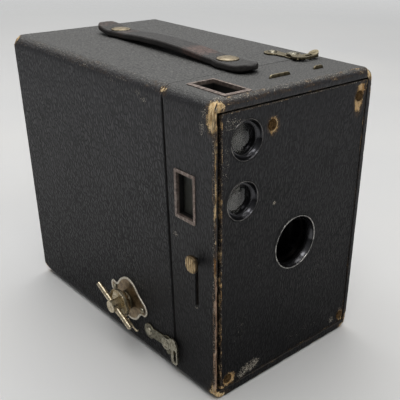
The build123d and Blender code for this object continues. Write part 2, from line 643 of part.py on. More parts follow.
# gate flanges tie the cone to the carrier sides
for x0, x1 in [(-CARRIER_IN, -33.1), (33.1, CARRIER_IN)]:
    cone = cone + block(x0, x1, 141.0, CONE_D[1], 14.0, 117.0)
save("light_cone", cone)

# ---- carrier side plates
for name, x0, x1, key_hole_r in (
        ("carrier_side_left", -CARRIER_OUT, -CARRIER_IN, 4.08),
        ("carrier_side_right", CARRIER_IN, CARRIER_OUT, SPOOL_PIN_R)):
    side = block(x0, x1, LENS_BOARD_D[1], 143.4, 5.6, 125.5)
    side = chamfer(side.edges().filter_by(Axis.X).group_by(Axis.Y)[-1], 3.0)
    side = side - FINDER_ROOM
    for z in (ROLL_LOW, ROLL_HIGH):
        side = side - rod_x(ROLL_D, z, ROLL_PIN_R + RUN, x0 - 1, x1 + 1)
    side = side - rod_x(*SUPPLY, SPOOL_PIN_R, x0 - 1, x1 + 1)
    side = side - rod_x(*KEY, key_hole_r, x0 - 1, x1 + 1)
    save(name, side)

# ---- spool pins
save("spool_pins", group(rod_x(*KEY, SPOOL_PIN_R, 30.0, CARRIER_OUT),
                         rod_x(*SUPPLY, SPOOL_PIN_R, 30.0, CARRIER_OUT),
                         rod_x(*SUPPLY, SPOOL_PIN_R, -CARRIER_OUT, -30.0)))


# ---- spools: a core with two flanges, end sockets and a film slot
def spool(d, z):
    body = rod_x(d, z, 5.5, -36.0, 36.0) + rod_x(d, z, 13.5, -36.0, -35.0) \
        + rod_x(d, z, 13.5, 35.0, 36.0)
    body = body - rod_x(d, z, 2.5, -37, -28.5) - rod_x(d, z, 2.5, 28.5, 37)
    return body - block(-29, 29, d - 0.5, d + 0.5, z - 8, z + 8)


save("takeup_spool", spool(*KEY))
save("supply_spool", spool(*SUPPLY))

# ---- take-up driver, slotted for the tongue of the key shaft
driver = rod_x(*KEY, 4.0, -40.3, -36.0) + rod_x(*KEY, 2.5, -36.0, -29.0)
save("takeup_driver",
     driver - block(-41, -39.0, KEY[0] - 6, KEY[0] + 6, KEY[1] - 0.7, KEY[1] + 0.7))

# ---- film rollers
for name, z in (("film_roller_lower", ROLL_LOW), ("film_roller_upper", ROLL_HIGH)):
    save(name, rod_x(ROLL_D, z, 2.0, -36.3, 36.3) + rod_x(ROLL_D, z, ROLL_PIN_R, -38.8, 38.8))

# ================================================================ shutter
# lever: swings in the side slot, knob outside
LEVER_TIP = (-47.0, 65.7)
LEVER_NOSE = (-2.5, 53.6)
lever_outline = at(*LEVER, Circle(4.0)) + bar(LEVER, LEVER_TIP, 3.0) \
    + bar(LEVER, LEVER_NOSE, 3.4) + at(*LEVER_NOSE, Circle(1.7))
lever = plate_y(*LEVER_D, lever_outline) - rod_y(*LEVER, PIVOT_R + RUN, 5, 20)
save("shutter_lever", lever)

# knob: an oval button with the lever tip let into it
with BuildPart() as knob:
    with BuildSketch(Plane(origin=(-48.6, y_at(9.8), LEVER_TIP[1]),
                           x_dir=(0, 1, 0), z_dir=(1, 0, 0))):
        Ellipse(3.3, 3.9)
    extrude(amount=2.1)
    fillet(knob.edges().group_by(Axis.X)[0], 0.9)
    chamfer(knob.edges().group_by(Axis.X)[-1], 0.45)
save("shutter_knob", knob.part - lever)

# disc with one sector opening, at rest clear of the lens
SECTOR_HALF = 21.0      # degrees
SECTOR_REST = 43.5      # degrees from the lens to the sector centre
lens_dx, lens_dz = LENS[0] - DISC[0], LENS[1] - DISC[1]
reach = math.hypot(lens_dx, lens_dz)
sector_angle = math.degrees(math.atan2(lens_dz, lens_dx)) + SECTOR_REST
fan_tips = [(60 * math.cos(math.radians(angle)), 60 * math.sin(math.radians(angle)))
            for angle in (sector_angle - SECTOR_HALF, sector_angle + SECTOR_HALF)]
fan = make_face(Polyline((0, 0), *fan_tips, (0, 0)))
sector = Circle(reach + 5.8) - Circle(reach - 6.2)
disc_outline = Circle(DISC_R) - Circle(PIVOT_R + RUN)
disc_outline = disc_outline - (sector & fan)
save("shutter_disc", plate_y(*DISC_D, at(*DISC, disc_outline)))

# ---- sliding strips with rounded tabs above the top
STOP_X, STOP_W = -0.5, 11.4     # neck and tab of the stop strip
STOP_PITCH = 12
stops = at(1.7, 65.0, Rectangle(16.0, 72.0)) + at(STOP_X, 115.0, Rectangle(STOP_W, 30.0))
stops = stops + at(STOP_X, 130.0, Rectangle(STOP_W, 2.0)) \
    + at(STOP_X, 130.8, RectangleRounded(STOP_W, 4.0, 1.5))
for step, radius in enumerate((5.2, 3.8, 2.7)):
    stops = stops - at(LENS[0], LENS[1] - STOP_PITCH * step, Circle(radius))
save("stop_strip", plate_y(*STRIP_D, stops))

TIME_X, TIME_W = 22.0, 5.5
time_outline = at(TIME_X, 100.0, Rectangle(TIME_W, 58.0)) \
    + at(TIME_X, 130.3, RectangleRounded(TIME_W, 5.0, 1.4))
save("time_strip", plate_y(*STRIP_D, time_outline))
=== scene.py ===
import math
import bpy
import bmesh
import numpy as np
from mathutils import Matrix, Vector


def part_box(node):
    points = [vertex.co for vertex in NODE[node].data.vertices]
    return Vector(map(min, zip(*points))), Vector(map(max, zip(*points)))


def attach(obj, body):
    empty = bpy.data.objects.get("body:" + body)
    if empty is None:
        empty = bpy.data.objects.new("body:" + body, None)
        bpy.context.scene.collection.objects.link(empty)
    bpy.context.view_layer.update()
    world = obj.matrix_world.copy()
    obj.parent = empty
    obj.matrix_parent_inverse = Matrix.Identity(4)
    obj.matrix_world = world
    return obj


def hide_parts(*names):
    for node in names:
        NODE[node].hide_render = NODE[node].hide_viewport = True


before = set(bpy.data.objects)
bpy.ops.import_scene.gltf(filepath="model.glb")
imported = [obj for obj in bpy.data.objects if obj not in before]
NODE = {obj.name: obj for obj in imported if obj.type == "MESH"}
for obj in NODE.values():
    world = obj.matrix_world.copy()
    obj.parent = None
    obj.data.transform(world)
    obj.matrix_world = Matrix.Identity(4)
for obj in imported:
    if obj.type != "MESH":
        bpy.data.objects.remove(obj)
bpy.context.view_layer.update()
scene = bpy.context.scene
MM = 0.001

# ------------------------------------------------------------------ sizes, millimetres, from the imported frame
def node_box(name):
    lo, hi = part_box(name)
    return np.array(lo) * 1000, np.array(hi) * 1000


CLO, CHI = node_box("casing_cover")
FLO, FHI = node_box("front_cover")
PLO, PHI = node_box("front_panel_cover")
HX = CHI[0]                       # half width
H = CHI[2]                        # height
DEPTH = CHI[1] - FLO[1]
Y0 = FLO[1]                       # y of the front face; d = y - Y0
EDGE = 5.0
SEAM_LOW, SEAM_HIGH = 26.1, 29.8
LENS = (1.9, 62.4)
FINDERS = ((-27.9, 114.6), (-29.5, 90.7))
NAILS = ((-15.1, 117.8), (36.6, 120.0), (-36.4, 8.5), (38.6, 8.2))
MOUTH = (-42.5, 41.65, 3.9, 127.2)


# ------------------------------------------------------------------ noise on points, deterministic
def _hash(i, j, k, seed):
    h = (i * 73856093) ^ (j * 19349663) ^ (k * 83492791) ^ (seed * 26544357)
    h = (h ^ (h >> 13)) & 0x7FFFFFFF
    h = (h * 1103515245 + 12345) & 0x7FFFFFFF
    h = ((h ^ (h >> 15)) * 22468225) & 0x7FFFFFFF
    h = (h ^ (h >> 12)) & 0xFFFFFF
    return h / float(0xFFFFFF)


def vnoise(P, size, seed=1):
    """Smooth value noise 0..1 of points in mm, with a feature size in mm (a number or one per axis)."""
    q = P / np.asarray(size, float)
    i = np.floor(q).astype(np.int64)
    f = q - i
    f = f * f * (3 - 2 * f)
    out = np.zeros(len(P))
    for a in (0, 1):
        for b in (0, 1):
            for c in (0, 1):
                w = (f[:, 0] if a else 1 - f[:, 0]) * (f[:, 1] if b else 1 - f[:, 1]) * (f[:, 2] if c else 1 - f[:, 2])
                out += w * _hash(i[:, 0] + a, i[:, 1] + b, i[:, 2] + c, seed)
    return out


def fnoise(P, size, seed=1, octaves=3):
    s, a, t = np.zeros(len(P)), 1.0, 0.0
    size = np.asarray(size, float)
    for o in range(octaves):
        s += a * vnoise(P, size / 2 ** o, seed + 17 * o)
        t += a
        a *= 0.5
    return s / t


def cells(P, size, seed=1):
    """Distance to the nearest scattered point, in cell units."""
    q = P / np.asarray(size, float)
    i0 = np.floor(q).astype(np.int64)
    best = np.full(len(P), 9.0)
    for a in (-1, 0, 1):
        for b in (-1, 0, 1):
            for c in (-1, 0, 1):
                i = i0 + (a, b, c)
                px = i[:, 0] + _hash(i[:, 0], i[:, 1], i[:, 2], seed)
                py = i[:, 1] + _hash(i[:, 0], i[:, 1], i[:, 2], seed + 5)
                pz = i[:, 2] + _hash(i[:, 0], i[:, 1], i[:, 2], seed + 9)
                best = np.minimum(best, (q[:, 0] - px) ** 2 + (q[:, 1] - py) ** 2 + (q[:, 2] - pz) ** 2)
    return np.sqrt(best)


def step(x, a, b):
    t = np.clip((x - a) / (b - a), 0, 1)
    return t * t * (3 - 2 * t)


def blob(P, c, r):
    """Signed distance-like field in mm: positive inside an ellipsoid."""
    r = np.asarray(r, float)
    return (1 - np.sqrt((((P - np.asarray(c, float)) / r) ** 2).sum(1))) * min(r)


# ------------------------------------------------------------------ materials
class Mat:
    def __init__(self, name):
        self.m = bpy.data.materials.new(name)
        self.m.use_nodes = True
        self.t = self.m.node_tree
        self.t.nodes.clear()
        self.out = self.t.nodes.new("ShaderNodeOutputMaterial")
        self.co = self.t.nodes.new("ShaderNodeTexCoord").outputs["Object"]
        g = self.t.nodes.new("ShaderNodeNewGeometry")
        self.normal = g.outputs["Normal"]

    def put(self, sock, v):
        if v is None:
            return
        if isinstance(v, bpy.types.NodeSocket):
            self.t.links.new(v, sock)
        elif isinstance(v, (tuple, list)):
            n = len(sock.default_value)
            sock.default_value = tuple(v) + (1.0,) * (n - len(v))
        else:
            sock.default_value = v

    def math(self, op, a, b=None, c=None, clamp=False):
        n = self.t.nodes.new("ShaderNodeMath")
        n.operation = op
        n.use_clamp = clamp
        for i, v in enumerate((a, b, c)):
            self.put(n.inputs[i], v)
        return n.outputs[0]

    def add(self, a, b): return self.math("ADD", a, b)
    def sub(self, a, b): return self.math("SUBTRACT", a, b)
    def mul(self, a, b): return self.math("MULTIPLY", a, b)

    def vec(self, op, a, b=None, scale=None):
        n = self.t.nodes.new("ShaderNodeVectorMath")
        n.operation = op
        self.put(n.inputs[0], a)
        if b is not None:
            self.put(n.inputs[1], b)
        if scale is not None:
            self.put(n.inputs["Scale"], scale)
        return n.outputs[0]

    def sized(self, size):
        """Object coordinates in units of a feature size given in mm."""
        if not isinstance(size, (tuple, list)):
            size = (size,) * 3
        return self.vec("MULTIPLY", self.co, tuple(1000.0 / s for s in size))

    def noise(self, size, detail=3.0, rough=0.55, dist=0.0, vec=None, seed=0.0, colour=False):
        n = self.t.nodes.new("ShaderNodeTexNoise")
        v = vec if vec is not None else self.sized(size)
        if seed:
            v = self.vec("ADD", v, (seed, seed * 1.7, seed * 0.6))
        self.put(n.inputs["Vector"], v)
        n.inputs["Scale"].default_value = 1.0
        n.inputs["Detail"].default_value = detail
        n.inputs["Roughness"].default_value = rough
        n.inputs["Distortion"].default_value = dist
        return n.outputs[1] if colour else n.outputs[0]

    def voro(self, vec, feature="DISTANCE_TO_EDGE", rand=1.0):
        n = self.t.nodes.new("ShaderNodeTexVoronoi")
        n.feature = feature
        self.put(n.inputs["Vector"], vec)
        n.inputs["Scale"].default_value = 1.0
        n.inputs["Randomness"].default_value = rand
        return n.outputs["Distance"]

    def smooth(self, x, lo, hi, to_lo=0.0, to_hi=1.0):
        n = self.t.nodes.new("ShaderNodeMapRange")
        n.interpolation_type = "SMOOTHSTEP"
        self.put(n.inputs[0], x)
        for i, v in enumerate((lo, hi, to_lo, to_hi)):
            self.put(n.inputs[i + 1], v)
        return n.outputs[0]

    def mix(self, f, a, b):
        n = self.t.nodes.new("ShaderNodeMix")
        n.data_type = "RGBA"
        self.put(n.inputs[0], f)
        self.put(n.inputs[6], a)
        self.put(n.inputs[7], b)
        return n.outputs[2]

    def mixf(self, f, a, b):
        n = self.t.nodes.new("ShaderNodeMix")
        n.data_type = "FLOAT"
        self.put(n.inputs[0], f)
        self.put(n.inputs[2], a)
        self.put(n.inputs[3], b)
        return n.outputs[0]

    def ramp(self, f, stops):
        n = self.t.nodes.new("ShaderNodeValToRGB")
        e = n.color_ramp.elements
        while len(e) < len(stops):
            e.new(0.5)
        for k, (p, c) in enumerate(stops):
            e[k].position = p
            e[k].color = tuple(c) + (1.0,)
        self.put(n.inputs[0], f)
        return n.outputs[0]

    def attr(self, name):
        n = self.t.nodes.new("ShaderNodeAttribute")
        n.attribute_name = name
        return n.outputs["Fac"]

    def split(self, v):
        n = self.t.nodes.new("ShaderNodeSeparateXYZ")
        self.put(n.inputs[0], v)
        return n.outputs

    def bump(self, h, mm, normal=None, strength=1.0):
        n = self.t.nodes.new("ShaderNodeBump")
        n.inputs["Distance"].default_value = mm * 0.001
        self.put(n.inputs["Strength"], strength)
        self.put(n.inputs["Height"], h)
        self.put(n.inputs["Normal"], normal)
        return n.outputs[0]

    def ao(self, mm, inside=False):
        n = self.t.nodes.new("ShaderNodeAmbientOcclusion")
        n.samples = 6
        n.inside = inside
        n.inputs["Distance"].default_value = mm * 0.001
        return n.outputs["AO"]

    def edges(self, mm, lo=0.03, hi=0.30):
        """1 along edges, from the difference between the plain and the rounded normal."""
        n = self.t.nodes.new("ShaderNodeBevel")
        n.samples = 6
        n.inputs["Radius"].default_value = mm * 0.001
        v = self.t.nodes.new("ShaderNodeVectorMath")
        v.operation = "DOT_PRODUCT"
        self.put(v.inputs[0], n.outputs[0])
        self.put(v.inputs[1], self.normal)
        return self.smooth(self.sub(1.0, v.outputs["Value"]), lo, hi)

    def up(self):
        """1 on faces that look upwards."""
        return self.smooth(self.split(self.normal)[2], 0.45, 0.97)

    def pbr(self, base, rough=0.5, metal=0.0, normal=None, **kw):
        n = self.t.nodes.new("ShaderNodeBsdfPrincipled")
        self.put(n.inputs["Base Color"], base)
        self.put(n.inputs["Roughness"], rough)
        self.put(n.inputs["Metallic"], metal)
        self.put(n.inputs["Normal"], normal)
        for k, v in kw.items():
            self.put(n.inputs[k.replace("_", " ")], v)
        self.t.links.new(n.outputs[0], self.out.inputs["Surface"])
        self.bsdf = n
        return self.m


def board_colour(s, seed=0.0):
    """Bare straw board and glue, tan with darker fibres."""
    fib = s.noise((0.9, 0.9, 3.5), 4, 0.65, 0.4, seed=3.1 + seed)
    blot = s.noise(4.5, 3, 0.6, seed=8.7 + seed)
    c = s.ramp(fib, [(0.30, (0.13, 0.070, 0.030)), (0.42, (0.56, 0.36, 0.155)), (0.54, (0.82, 0.60, 0.32)), (0.72, (0.95, 0.82, 0.58))])
    c = s.mix(s.smooth(blot, 0.54, 0.72), c, (0.30, 0.165, 0.062))
    pep = s.noise(0.42, 3, 0.7, seed=15.0 + seed)
    c = s.mix(s.smooth(pep, 0.60, 0.70), c, (0.030, 0.018, 0.010))
    return s.mix(s.mul(s.smooth(pep, 0.40, 0.30), 0.7), c, (0.74, 0.66, 0.52))


def leatherette(name, cell, deep=1.0, dust_and_top_light=0.10, shade=1.0, seed=0.0, sheen=1.0):
    """Black grained covering cloth over board, rubbed through where the 'wear' attribute says (in mm)."""
    s = Mat(name)
    q = s.sized(cell)
    warp = s.vec("SUBTRACT", s.noise(None, 2, 0.5, vec=s.vec("MULTIPLY", q, (0.55, 0.55, 0.55)), seed=seed + 1.3, colour=True), (0.5, 0.5, 0.5))
    qw = s.vec("ADD", q, s.vec("SCALE", warp, scale=1.5))
    edge = s.voro(qw)
    pebble = s.smooth(edge, 0.0, 0.30)
    big = s.voro(s.vec("MULTIPLY", qw, (0.46, 0.46, 0.46)), "F1")
    fine = s.noise(None, 3, 0.6, vec=s.vec("MULTIPLY", q, (4.0, 4.0, 4.0)), seed=seed + 4)
    h = s.add(s.mul(pebble, 1.0), s.mul(fine, 0.20))
    h = s.add(h, s.mul(big, -0.35))
    tone = s.noise(17.0, 4, 0.6, seed=seed + 2)
    worn_hi = s.smooth(s.noise((2.1, 2.1, 4.0), 3, 0.6, seed=seed + 9), 0.52, 0.72)
    # shade scales the cloth's brightness for each copy: painted light, the casing copy lighter and the front and panel
    # copies darker, by how the light falls on each face
    base = s.mix(pebble, (0.0036, 0.0037, 0.0045), (0.0175 * shade, 0.0177 * shade, 0.0208 * shade))
    base = s.mix(s.mul(s.smooth(tone, 0.4, 0.7), 0.4), base, (0.025 * shade, 0.0248 * shade, 0.0275 * shade))
    ridge = s.smooth(s.noise(None, 2, 0.6, vec=s.vec("MULTIPLY", q, (1.9, 1.9, 1.3)), seed=seed + 61), 0.56, 0.70)
    base = s.mix(s.mul(s.mul(ridge, pebble), 0.55), base, (0.066 * shade, 0.065 * shade, 0.069 * shade))
    base = s.mix(s.mul(s.mul(worn_hi, pebble), 0.22), base, (0.062, 0.060, 0.058))
    # painted light and shade: the cloth is lighter towards the top of the body and darker towards the bottom
    high = s.smooth(s.split(s.co)[2], 0.075, 0.130)
    base = s.mix(s.mul(high, 0.30), base, (0.060 * shade, 0.0595 * shade, 0.066 * shade))
    low = s.smooth(s.split(s.co)[2], 0.125, 0.0)
    base = s.mix(s.mul(low, 0.74), base, (0.0024, 0.0024, 0.0030))
    # dust and dull bloom on faces that look up, partly painted light: lightening the up-facing faces also stands in
    # for the top light
    up = s.up()
    lodge = s.smooth(s.noise(0.75, 3, 0.65, seed=seed + 17), 0.38, 0.62, 0.35, 0.92)
    base = s.mix(s.mul(up, s.mul(lodge, s.mixf(pebble, 0.62, 0.95))), base, (dust_and_top_light, dust_and_top_light * 1.0, dust_and_top_light * 0.95))
    rough = s.mixf(pebble, 0.60, 0.36)
    rough = s.mixf(s.mul(s.smooth(tone, 0.35, 0.65), 0.5), rough, 0.52)
    rough = s.mixf(s.mul(up, 0.8), rough, 0.74)
    # wear
    w = s.attr("wear")
    rag = s.sub(s.noise((1.3, 1.3, 2.0), 5, 0.72, seed=seed + 12), 0.5)
    grit = s.sub(s.noise(0.38, 2, 0.6, seed=seed + 14), 0.5)
    ww = s.add(s.add(w, s.mul(rag, 3.4)), s.mul(grit, 2.2))
    bare = s.smooth(ww, 0.0, 0.45)
    halo = s.smooth(ww, -1.2, 0.1)
    brown = s.ramp(s.noise(1.6, 3, 0.6, seed=seed + 5), [(0.3, (0.022, 0.014, 0.010)), (0.7, (0.115, 0.072, 0.040))])
    tintz = s.attr("tint")
    board = board_colour(s, seed)
    board = s.mix(s.math("MAXIMUM", tintz, 0.0), board, s.ramp(s.noise((0.7, 0.7, 3.0), 3, 0.6, seed=seed + 33),
                  [(0.3, (0.085, 0.045, 0.030)), (0.5, (0.34, 0.215, 0.155)), (0.72, (0.62, 0.48, 0.38))]))
    board = s.mix(s.math("MAXIMUM", s.mul(tintz, -1.0), 0.0), board, (0.46, 0.215, 0.062))
    grime = s.noise((0.6, 0.6, 2.6), 4, 0.65, seed=seed + 40)
    board = s.mix(s.mul(s.attr("soil"), s.smooth(grime, 0.38, 0.62)), board, (0.040, 0.024, 0.015))
    col = s.mix(s.mul(halo, 0.7), base, brown)
    col = s.mix(bare, col, board)
    # pale scuffs and painted edge highlights: thin broken marks
    sc = s.attr("scuff_and_glint")
    speck = s.noise((0.7, 0.7, 1.2), 3, 0.7, seed=seed + 21)
    sand = s.noise(0.42, 2, 0.55, seed=seed + 26)
    scm = s.smooth(s.add(s.add(s.mul(sc, 0.30), s.mul(s.sub(speck, 0.5), 0.35)), sand), 0.80, 0.87)
    col = s.mix(s.mul(scm, 0.9), col, s.mix(s.smooth(sand, 0.35, 0.65), (0.13, 0.108, 0.080), (0.47, 0.43, 0.36)))
    # painted shade in recessed corners, from ambient occlusion
    ao_shade = s.smooth(s.ao(2.0), 0.25, 0.85)
    col = s.mix(s.mul(s.sub(1.0, ao_shade), 0.55), col, (0.006, 0.0055, 0.005))
    rough = s.mixf(bare, rough, 0.88)
    rough = s.mixf(scm, rough, 0.8)
    hh = s.add(h, s.mul(bare, -0.9))
    hh = s.add(hh, s.mul(s.mul(bare, s.noise((0.35, 0.35, 1.2), 3, 0.6, seed=seed + 6)), 0.8))
    nrm = s.bump(hh, 0.17 * deep)
    nrm = s.bump(s.noise((7, 7, 9), 3, 0.5, seed=seed + 30), 0.10, nrm)
    return s.pbr(col, rough, 0.0, nrm, Specular_IOR_Level=s.mixf(low, 0.46 * sheen, 0.14 * sheen))


def metal(name, base, dark, rough=0.34, tarnish=0.5, scale=2.2, seed=0.0, spots=(0.05, 0.035, 0.02), brushed=None, bump=0.03,
          shaded_below=None, rim=None, ao_shade=0.85):
    """Old plated or bare metal: tone drift, dark tarnish spots, painted shade in corners from ambient occlusion, and
    fine scratches.
    """
    s = Mat(name)
    a = s.noise(scale, 4, 0.62, seed=seed + 1)
    b = s.noise(scale * 0.35, 3, 0.6, seed=seed + 7)
    lines = s.noise(brushed or (0.18, 0.9, 2.4), 2, 0.5, seed=seed + 11)
    c = s.mix(s.smooth(a, 0.38, 0.68), base, dark)
    c = s.mix(s.mul(s.smooth(b, 0.58, 0.74), tarnish), c, spots)
    # pale rims along the edges: rubbed edges and painted highlight
    if rim is not None:
        c = s.mix(s.mul(s.edges(rim[1]), s.smooth(b, 0.70, 0.40)), c, rim[0])
    # painted shade: the colour is darker where ambient occlusion is high, in corners and under parts
    occ = s.smooth(s.ao(1.4), 0.40, 0.97)
    c = s.mix(s.mul(s.sub(1.0, occ), ao_shade), c, (spots[0] * 0.4, spots[1] * 0.4, spots[2] * 0.4))
    r = s.add(s.mul(s.smooth(a, 0.3, 0.75), 0.22), rough - 0.06)
    r = s.add(r, s.mul(s.sub(lines, 0.5), 0.22))
    r = s.add(r, s.mul(s.sub(1.0, occ), 0.25))
    h = s.add(s.mul(lines, 0.35), s.mul(b, 0.65))
    # painted shade: near black below the given height, where the strip runs down inside its slot
    if shaded_below is not None:
        k = s.smooth(s.add(s.split(s.co)[2], s.mul(s.sub(b, 0.5), 0.002)), (shaded_below - 0.4) * MM, (shaded_below + 0.4) * MM)
        c = s.mix(k, (0.007, 0.007, 0.007), c)
    return s.pbr(c, r, s.mixf(s.mul(s.smooth(b, 0.58, 0.74), tarnish), 1.0, 0.55), s.bump(h, bump))


def painted(name, base, rub, rough=0.42, grain=(1.5, 1.5, 1.5), bump=0.03, rubbed=0.5, seed=0.0, metallic_rub=False):
    """Paint or stain over a base: uneven gloss, brush texture, rubbed flecks."""
    s = Mat(name)
    a = s.noise(6.0, 4, 0.6, seed=seed + 1)
    b = s.noise(grain, 4, 0.65, seed=seed + 5)
    c = s.mix(s.smooth(a, 0.35, 0.7), base, tuple(min(1, x * 1.7 + 0.004) for x in base))
    fleck = s.mul(s.smooth(b, 0.60, 0.76), rubbed)
    c = s.mix(fleck, c, rub)
    r = s.add(s.mul(b, 0.25), rough - 0.1)
    return s.pbr(c, r, s.mul(fleck, 0.8) if metallic_rub else 0.0, s.bump(s.add(b, s.mul(a, 0.5)), bump))


def wood(name, light, dark, seed=0.0, rough=0.7):
    s = Mat(name)
    g = s.noise((1.1, 9.0, 1.1), 4, 0.6, 0.6, seed=seed + 2)
    rings = s.noise((3.5, 40.0, 2.2), 2, 0.5, 1.4, seed=seed + 6)
    c = s.mix(s.smooth(g, 0.35, 0.7), light, dark)
    c = s.mix(s.mul(s.smooth(rings, 0.5, 0.62), 0.5), c, tuple(x * 0.55 for x in dark))
    return s.pbr(c, s.add(s.mul(g, 0.2), rough - 0.1), 0.0, s.bump(g, 0.05))


def strap_leather():
    s = Mat("strap_leather")
    q = s.sized((0.55, 0.75, 0.55))
    pores = s.voro(q, "F1")
    crack = s.smooth(s.voro(s.vec("ADD", s.sized((2.4, 1.3, 2.4)),
                     s.vec("SCALE", s.noise(2.0, 3, 0.6, colour=True, seed=3.0), scale=0.9))), 0.0, 0.10)
    tone = s.noise((4.0, 7.0, 4.0), 4, 0.6, seed=1.0)
    red = s.attr("red")
    edge = s.attr("edge")
    base = s.mix(s.smooth(tone, 0.35, 0.7), (0.013, 0.0125, 0.0125), (0.047, 0.045, 0.044))
    rub = s.smooth(s.add(red, s.mul(s.sub(s.noise((1.3, 2.6, 1.3), 4, 0.65, seed=5.0), 0.5), 1.1)), 0.25, 0.75)
    base = s.mix(s.mul(rub, 0.78), base, s.ramp(s.noise((0.9, 2.2, 0.9), 3, 0.6, seed=6.0),
                 [(0.3, (0.075, 0.032, 0.024)), (0.6, (0.20, 0.105, 0.080)), (0.8, (0.28, 0.18, 0.14))]))
    base = s.mix(s.mul(s.up(), 0.30), base, (0.10, 0.096, 0.091))
    base = s.mix(s.mul(s.sub(1.0, crack), 0.8), base, (0.006, 0.005, 0.005))
    base = s.mix(s.mul(edge, 0.6), base, (0.022, 0.0185, 0.017))
    h = s.add(s.mul(pores, 0.35), s.mul(crack, 0.8))
    h = s.add(h, s.mul(s.noise((1.2, 3.0, 1.2), 4, 0.6, seed=7.0), 0.7))
    r = s.add(s.mul(tone, 0.25), 0.42)
    return s.pbr(base, r, 0.0, s.bump(h, 0.09), Specular_IOR_Level=0.4)


def finder_glass():
    """Small domed lens: hazy; its colour is painted lighter on the near side as light from the lit screen, and near
    black on the far side as painted shade from the dark box.
    """
    s = Mat("finder_glass")
    x, _, z = s.split(s.co)[:3]
    cx = s.mixf(s.math("GREATER_THAN", z, 0.102), -0.0295, -0.0279)
    off = s.add(s.sub(x, cx), s.mul(s.sub(s.noise(4.0, 2, 0.5, seed=3.0), 0.5), 0.002))
    haze = s.smooth(s.noise(1.8, 4, 0.65, seed=2.0), 0.45, 0.70)
    c = s.mix(haze, (0.80, 0.80, 0.76), (0.62, 0.60, 0.55))
    # painted shade over the far side of the lens
    c = s.mix(s.smooth(off, -0.0004, 0.0022), c, (0.045, 0.045, 0.05))
    return s.pbr(c, s.add(s.mul(haze, 0.12), 0.02), 0.0, s.bump(s.noise(5.0, 2, 0.5), 0.01), Transmission_Weight=0.95, IOR=1.5)


def glass(name, tint, rough=0.02):
    s = Mat(name)
    haze = s.smooth(s.noise(3.0, 4, 0.65, seed=2.0), 0.45, 0.75)
    r = s.add(s.mul(haze, 0.16), rough)
    return s.pbr(tint, r, 0.0, s.bump(s.noise(5.0, 2, 0.5), 0.01), Transmission_Weight=0.93, IOR=1.5)


# the three copies differ in the shade factor (1.10, 0.85, 0.61) as painted light: sides lighter, front and panel
# darker
M_CASE = leatherette("leatherette_casing", (1.35, 1.35, 3.1), 1.15, 0.165, 1.10)
M_FRONT = leatherette("leatherette_front", (0.95, 0.95, 3.4), 0.85, 0.165, 0.85, seed=11.0)
M_PANEL = leatherette("leatherette_panel", (0.95, 0.95, 3.4), 0.9, 0.10, 0.61, seed=23.0, sheen=0.7)
M_STRAP = strap_leather()
M_NICKEL = metal("nickel_old", (0.70, 0.62, 0.46), (0.36, 0.295, 0.185), 0.26, 0.7, rim=((0.95, 0.90, 0.78), 0.25))
M_NICKEL_DULL = metal("nickel_dull", (0.33, 0.305, 0.225), (0.15, 0.132, 0.085), 0.33, 0.9, 1.7, seed=4.0, rim=((0.80, 0.78, 0.66), 0.28))
# the latch plate is a darker copy of the hook's nickel: tarnish and painted shade round the hook
M_PLATE = metal("latch_plate_dull_shaded", (0.235, 0.222, 0.165), (0.095, 0.085, 0.056), 0.36, 0.95, 1.4, seed=21.0, rim=((0.74, 0.72, 0.60), 0.24), ao_shade=0.95)
M_HOOK = metal("latch_hook_nickel", (0.42, 0.395, 0.31), (0.17, 0.152, 0.105), 0.27, 0.95, 1.5, seed=22.0, rim=((0.92, 0.90, 0.80), 0.26), ao_shade=0.95)
M_TOP = metal("top_fitting_dull", (0.27, 0.236, 0.158), (0.13, 0.108, 0.066), 0.46, 0.85, 1.8, seed=9.0, rim=((0.66, 0.60, 0.45), 0.26))
M_STUD = metal("strap_stud_brass", (0.36, 0.305, 0.215), (0.20, 0.16, 0.105), 0.46, 0.7, 1.8, seed=10.0, rim=((0.62, 0.54, 0.40), 0.25))
M_BRONZE = metal("escutcheon_tarnish", (0.42, 0.33, 0.20), (0.20, 0.145, 0.085), 0.40, 0.8, seed=8.0)
M_BRASS = metal("brass_old", (0.86, 0.60, 0.27), (0.52, 0.33, 0.13), 0.30, 0.5, seed=3.0)
M_WINDOW = metal("window_frame_metal", (0.34, 0.27, 0.22), (0.14, 0.095, 0.075), 0.40, 0.8, seed=5.0)
M_STEEL = metal("steel_dull", (0.52, 0.51, 0.49), (0.30, 0.28, 0.25), 0.40, 0.6, seed=6.0)
M_RUST = metal("nail_rust", (0.155, 0.092, 0.036), (0.040, 0.022, 0.011), 0.75, 0.95, 0.9, seed=7.0, bump=0.12)
M_BLACK = painted("black_enamel", (0.0055, 0.0055, 0.006), (0.07, 0.06, 0.045), 0.24, rubbed=0.22, metallic_rub=True)
M_FUNNEL = metal("black_funnel_lacquer", (0.040, 0.040, 0.043), (0.016, 0.016, 0.017), 0.20, 0.5, 3.0, seed=15.0, bump=0.02, rim=((0.22, 0.22, 0.22), 0.2))
M_BLACK_IN = painted("black_dull_inside", (0.010, 0.010, 0.010), (0.035, 0.032, 0.028), 0.75, (0.8, 0.8, 0.8), 0.05, 0.5)
M_CARD = painted("black_card", (0.016, 0.0155, 0.015), (0.06, 0.05, 0.04), 0.85, (0.6, 0.6, 2.0), 0.06, 0.4, seed=2.0)
M_WOOD = wood("black_stained_wood", (0.030, 0.024, 0.019), (0.010, 0.008, 0.007))
M_SPOOL = wood("spool_wood", (0.42, 0.26, 0.12), (0.24, 0.13, 0.055), 3.0)
M_BOARD = painted("board_black_inside", (0.013, 0.012, 0.012), (0.10, 0.07, 0.04), 0.85, (0.7, 2.0, 0.7), 0.06, 0.35, seed=3.0)
M_GLASS = finder_glass()
M_LENS = glass("lens_glass", (0.93, 0.95, 0.97), 0.01)


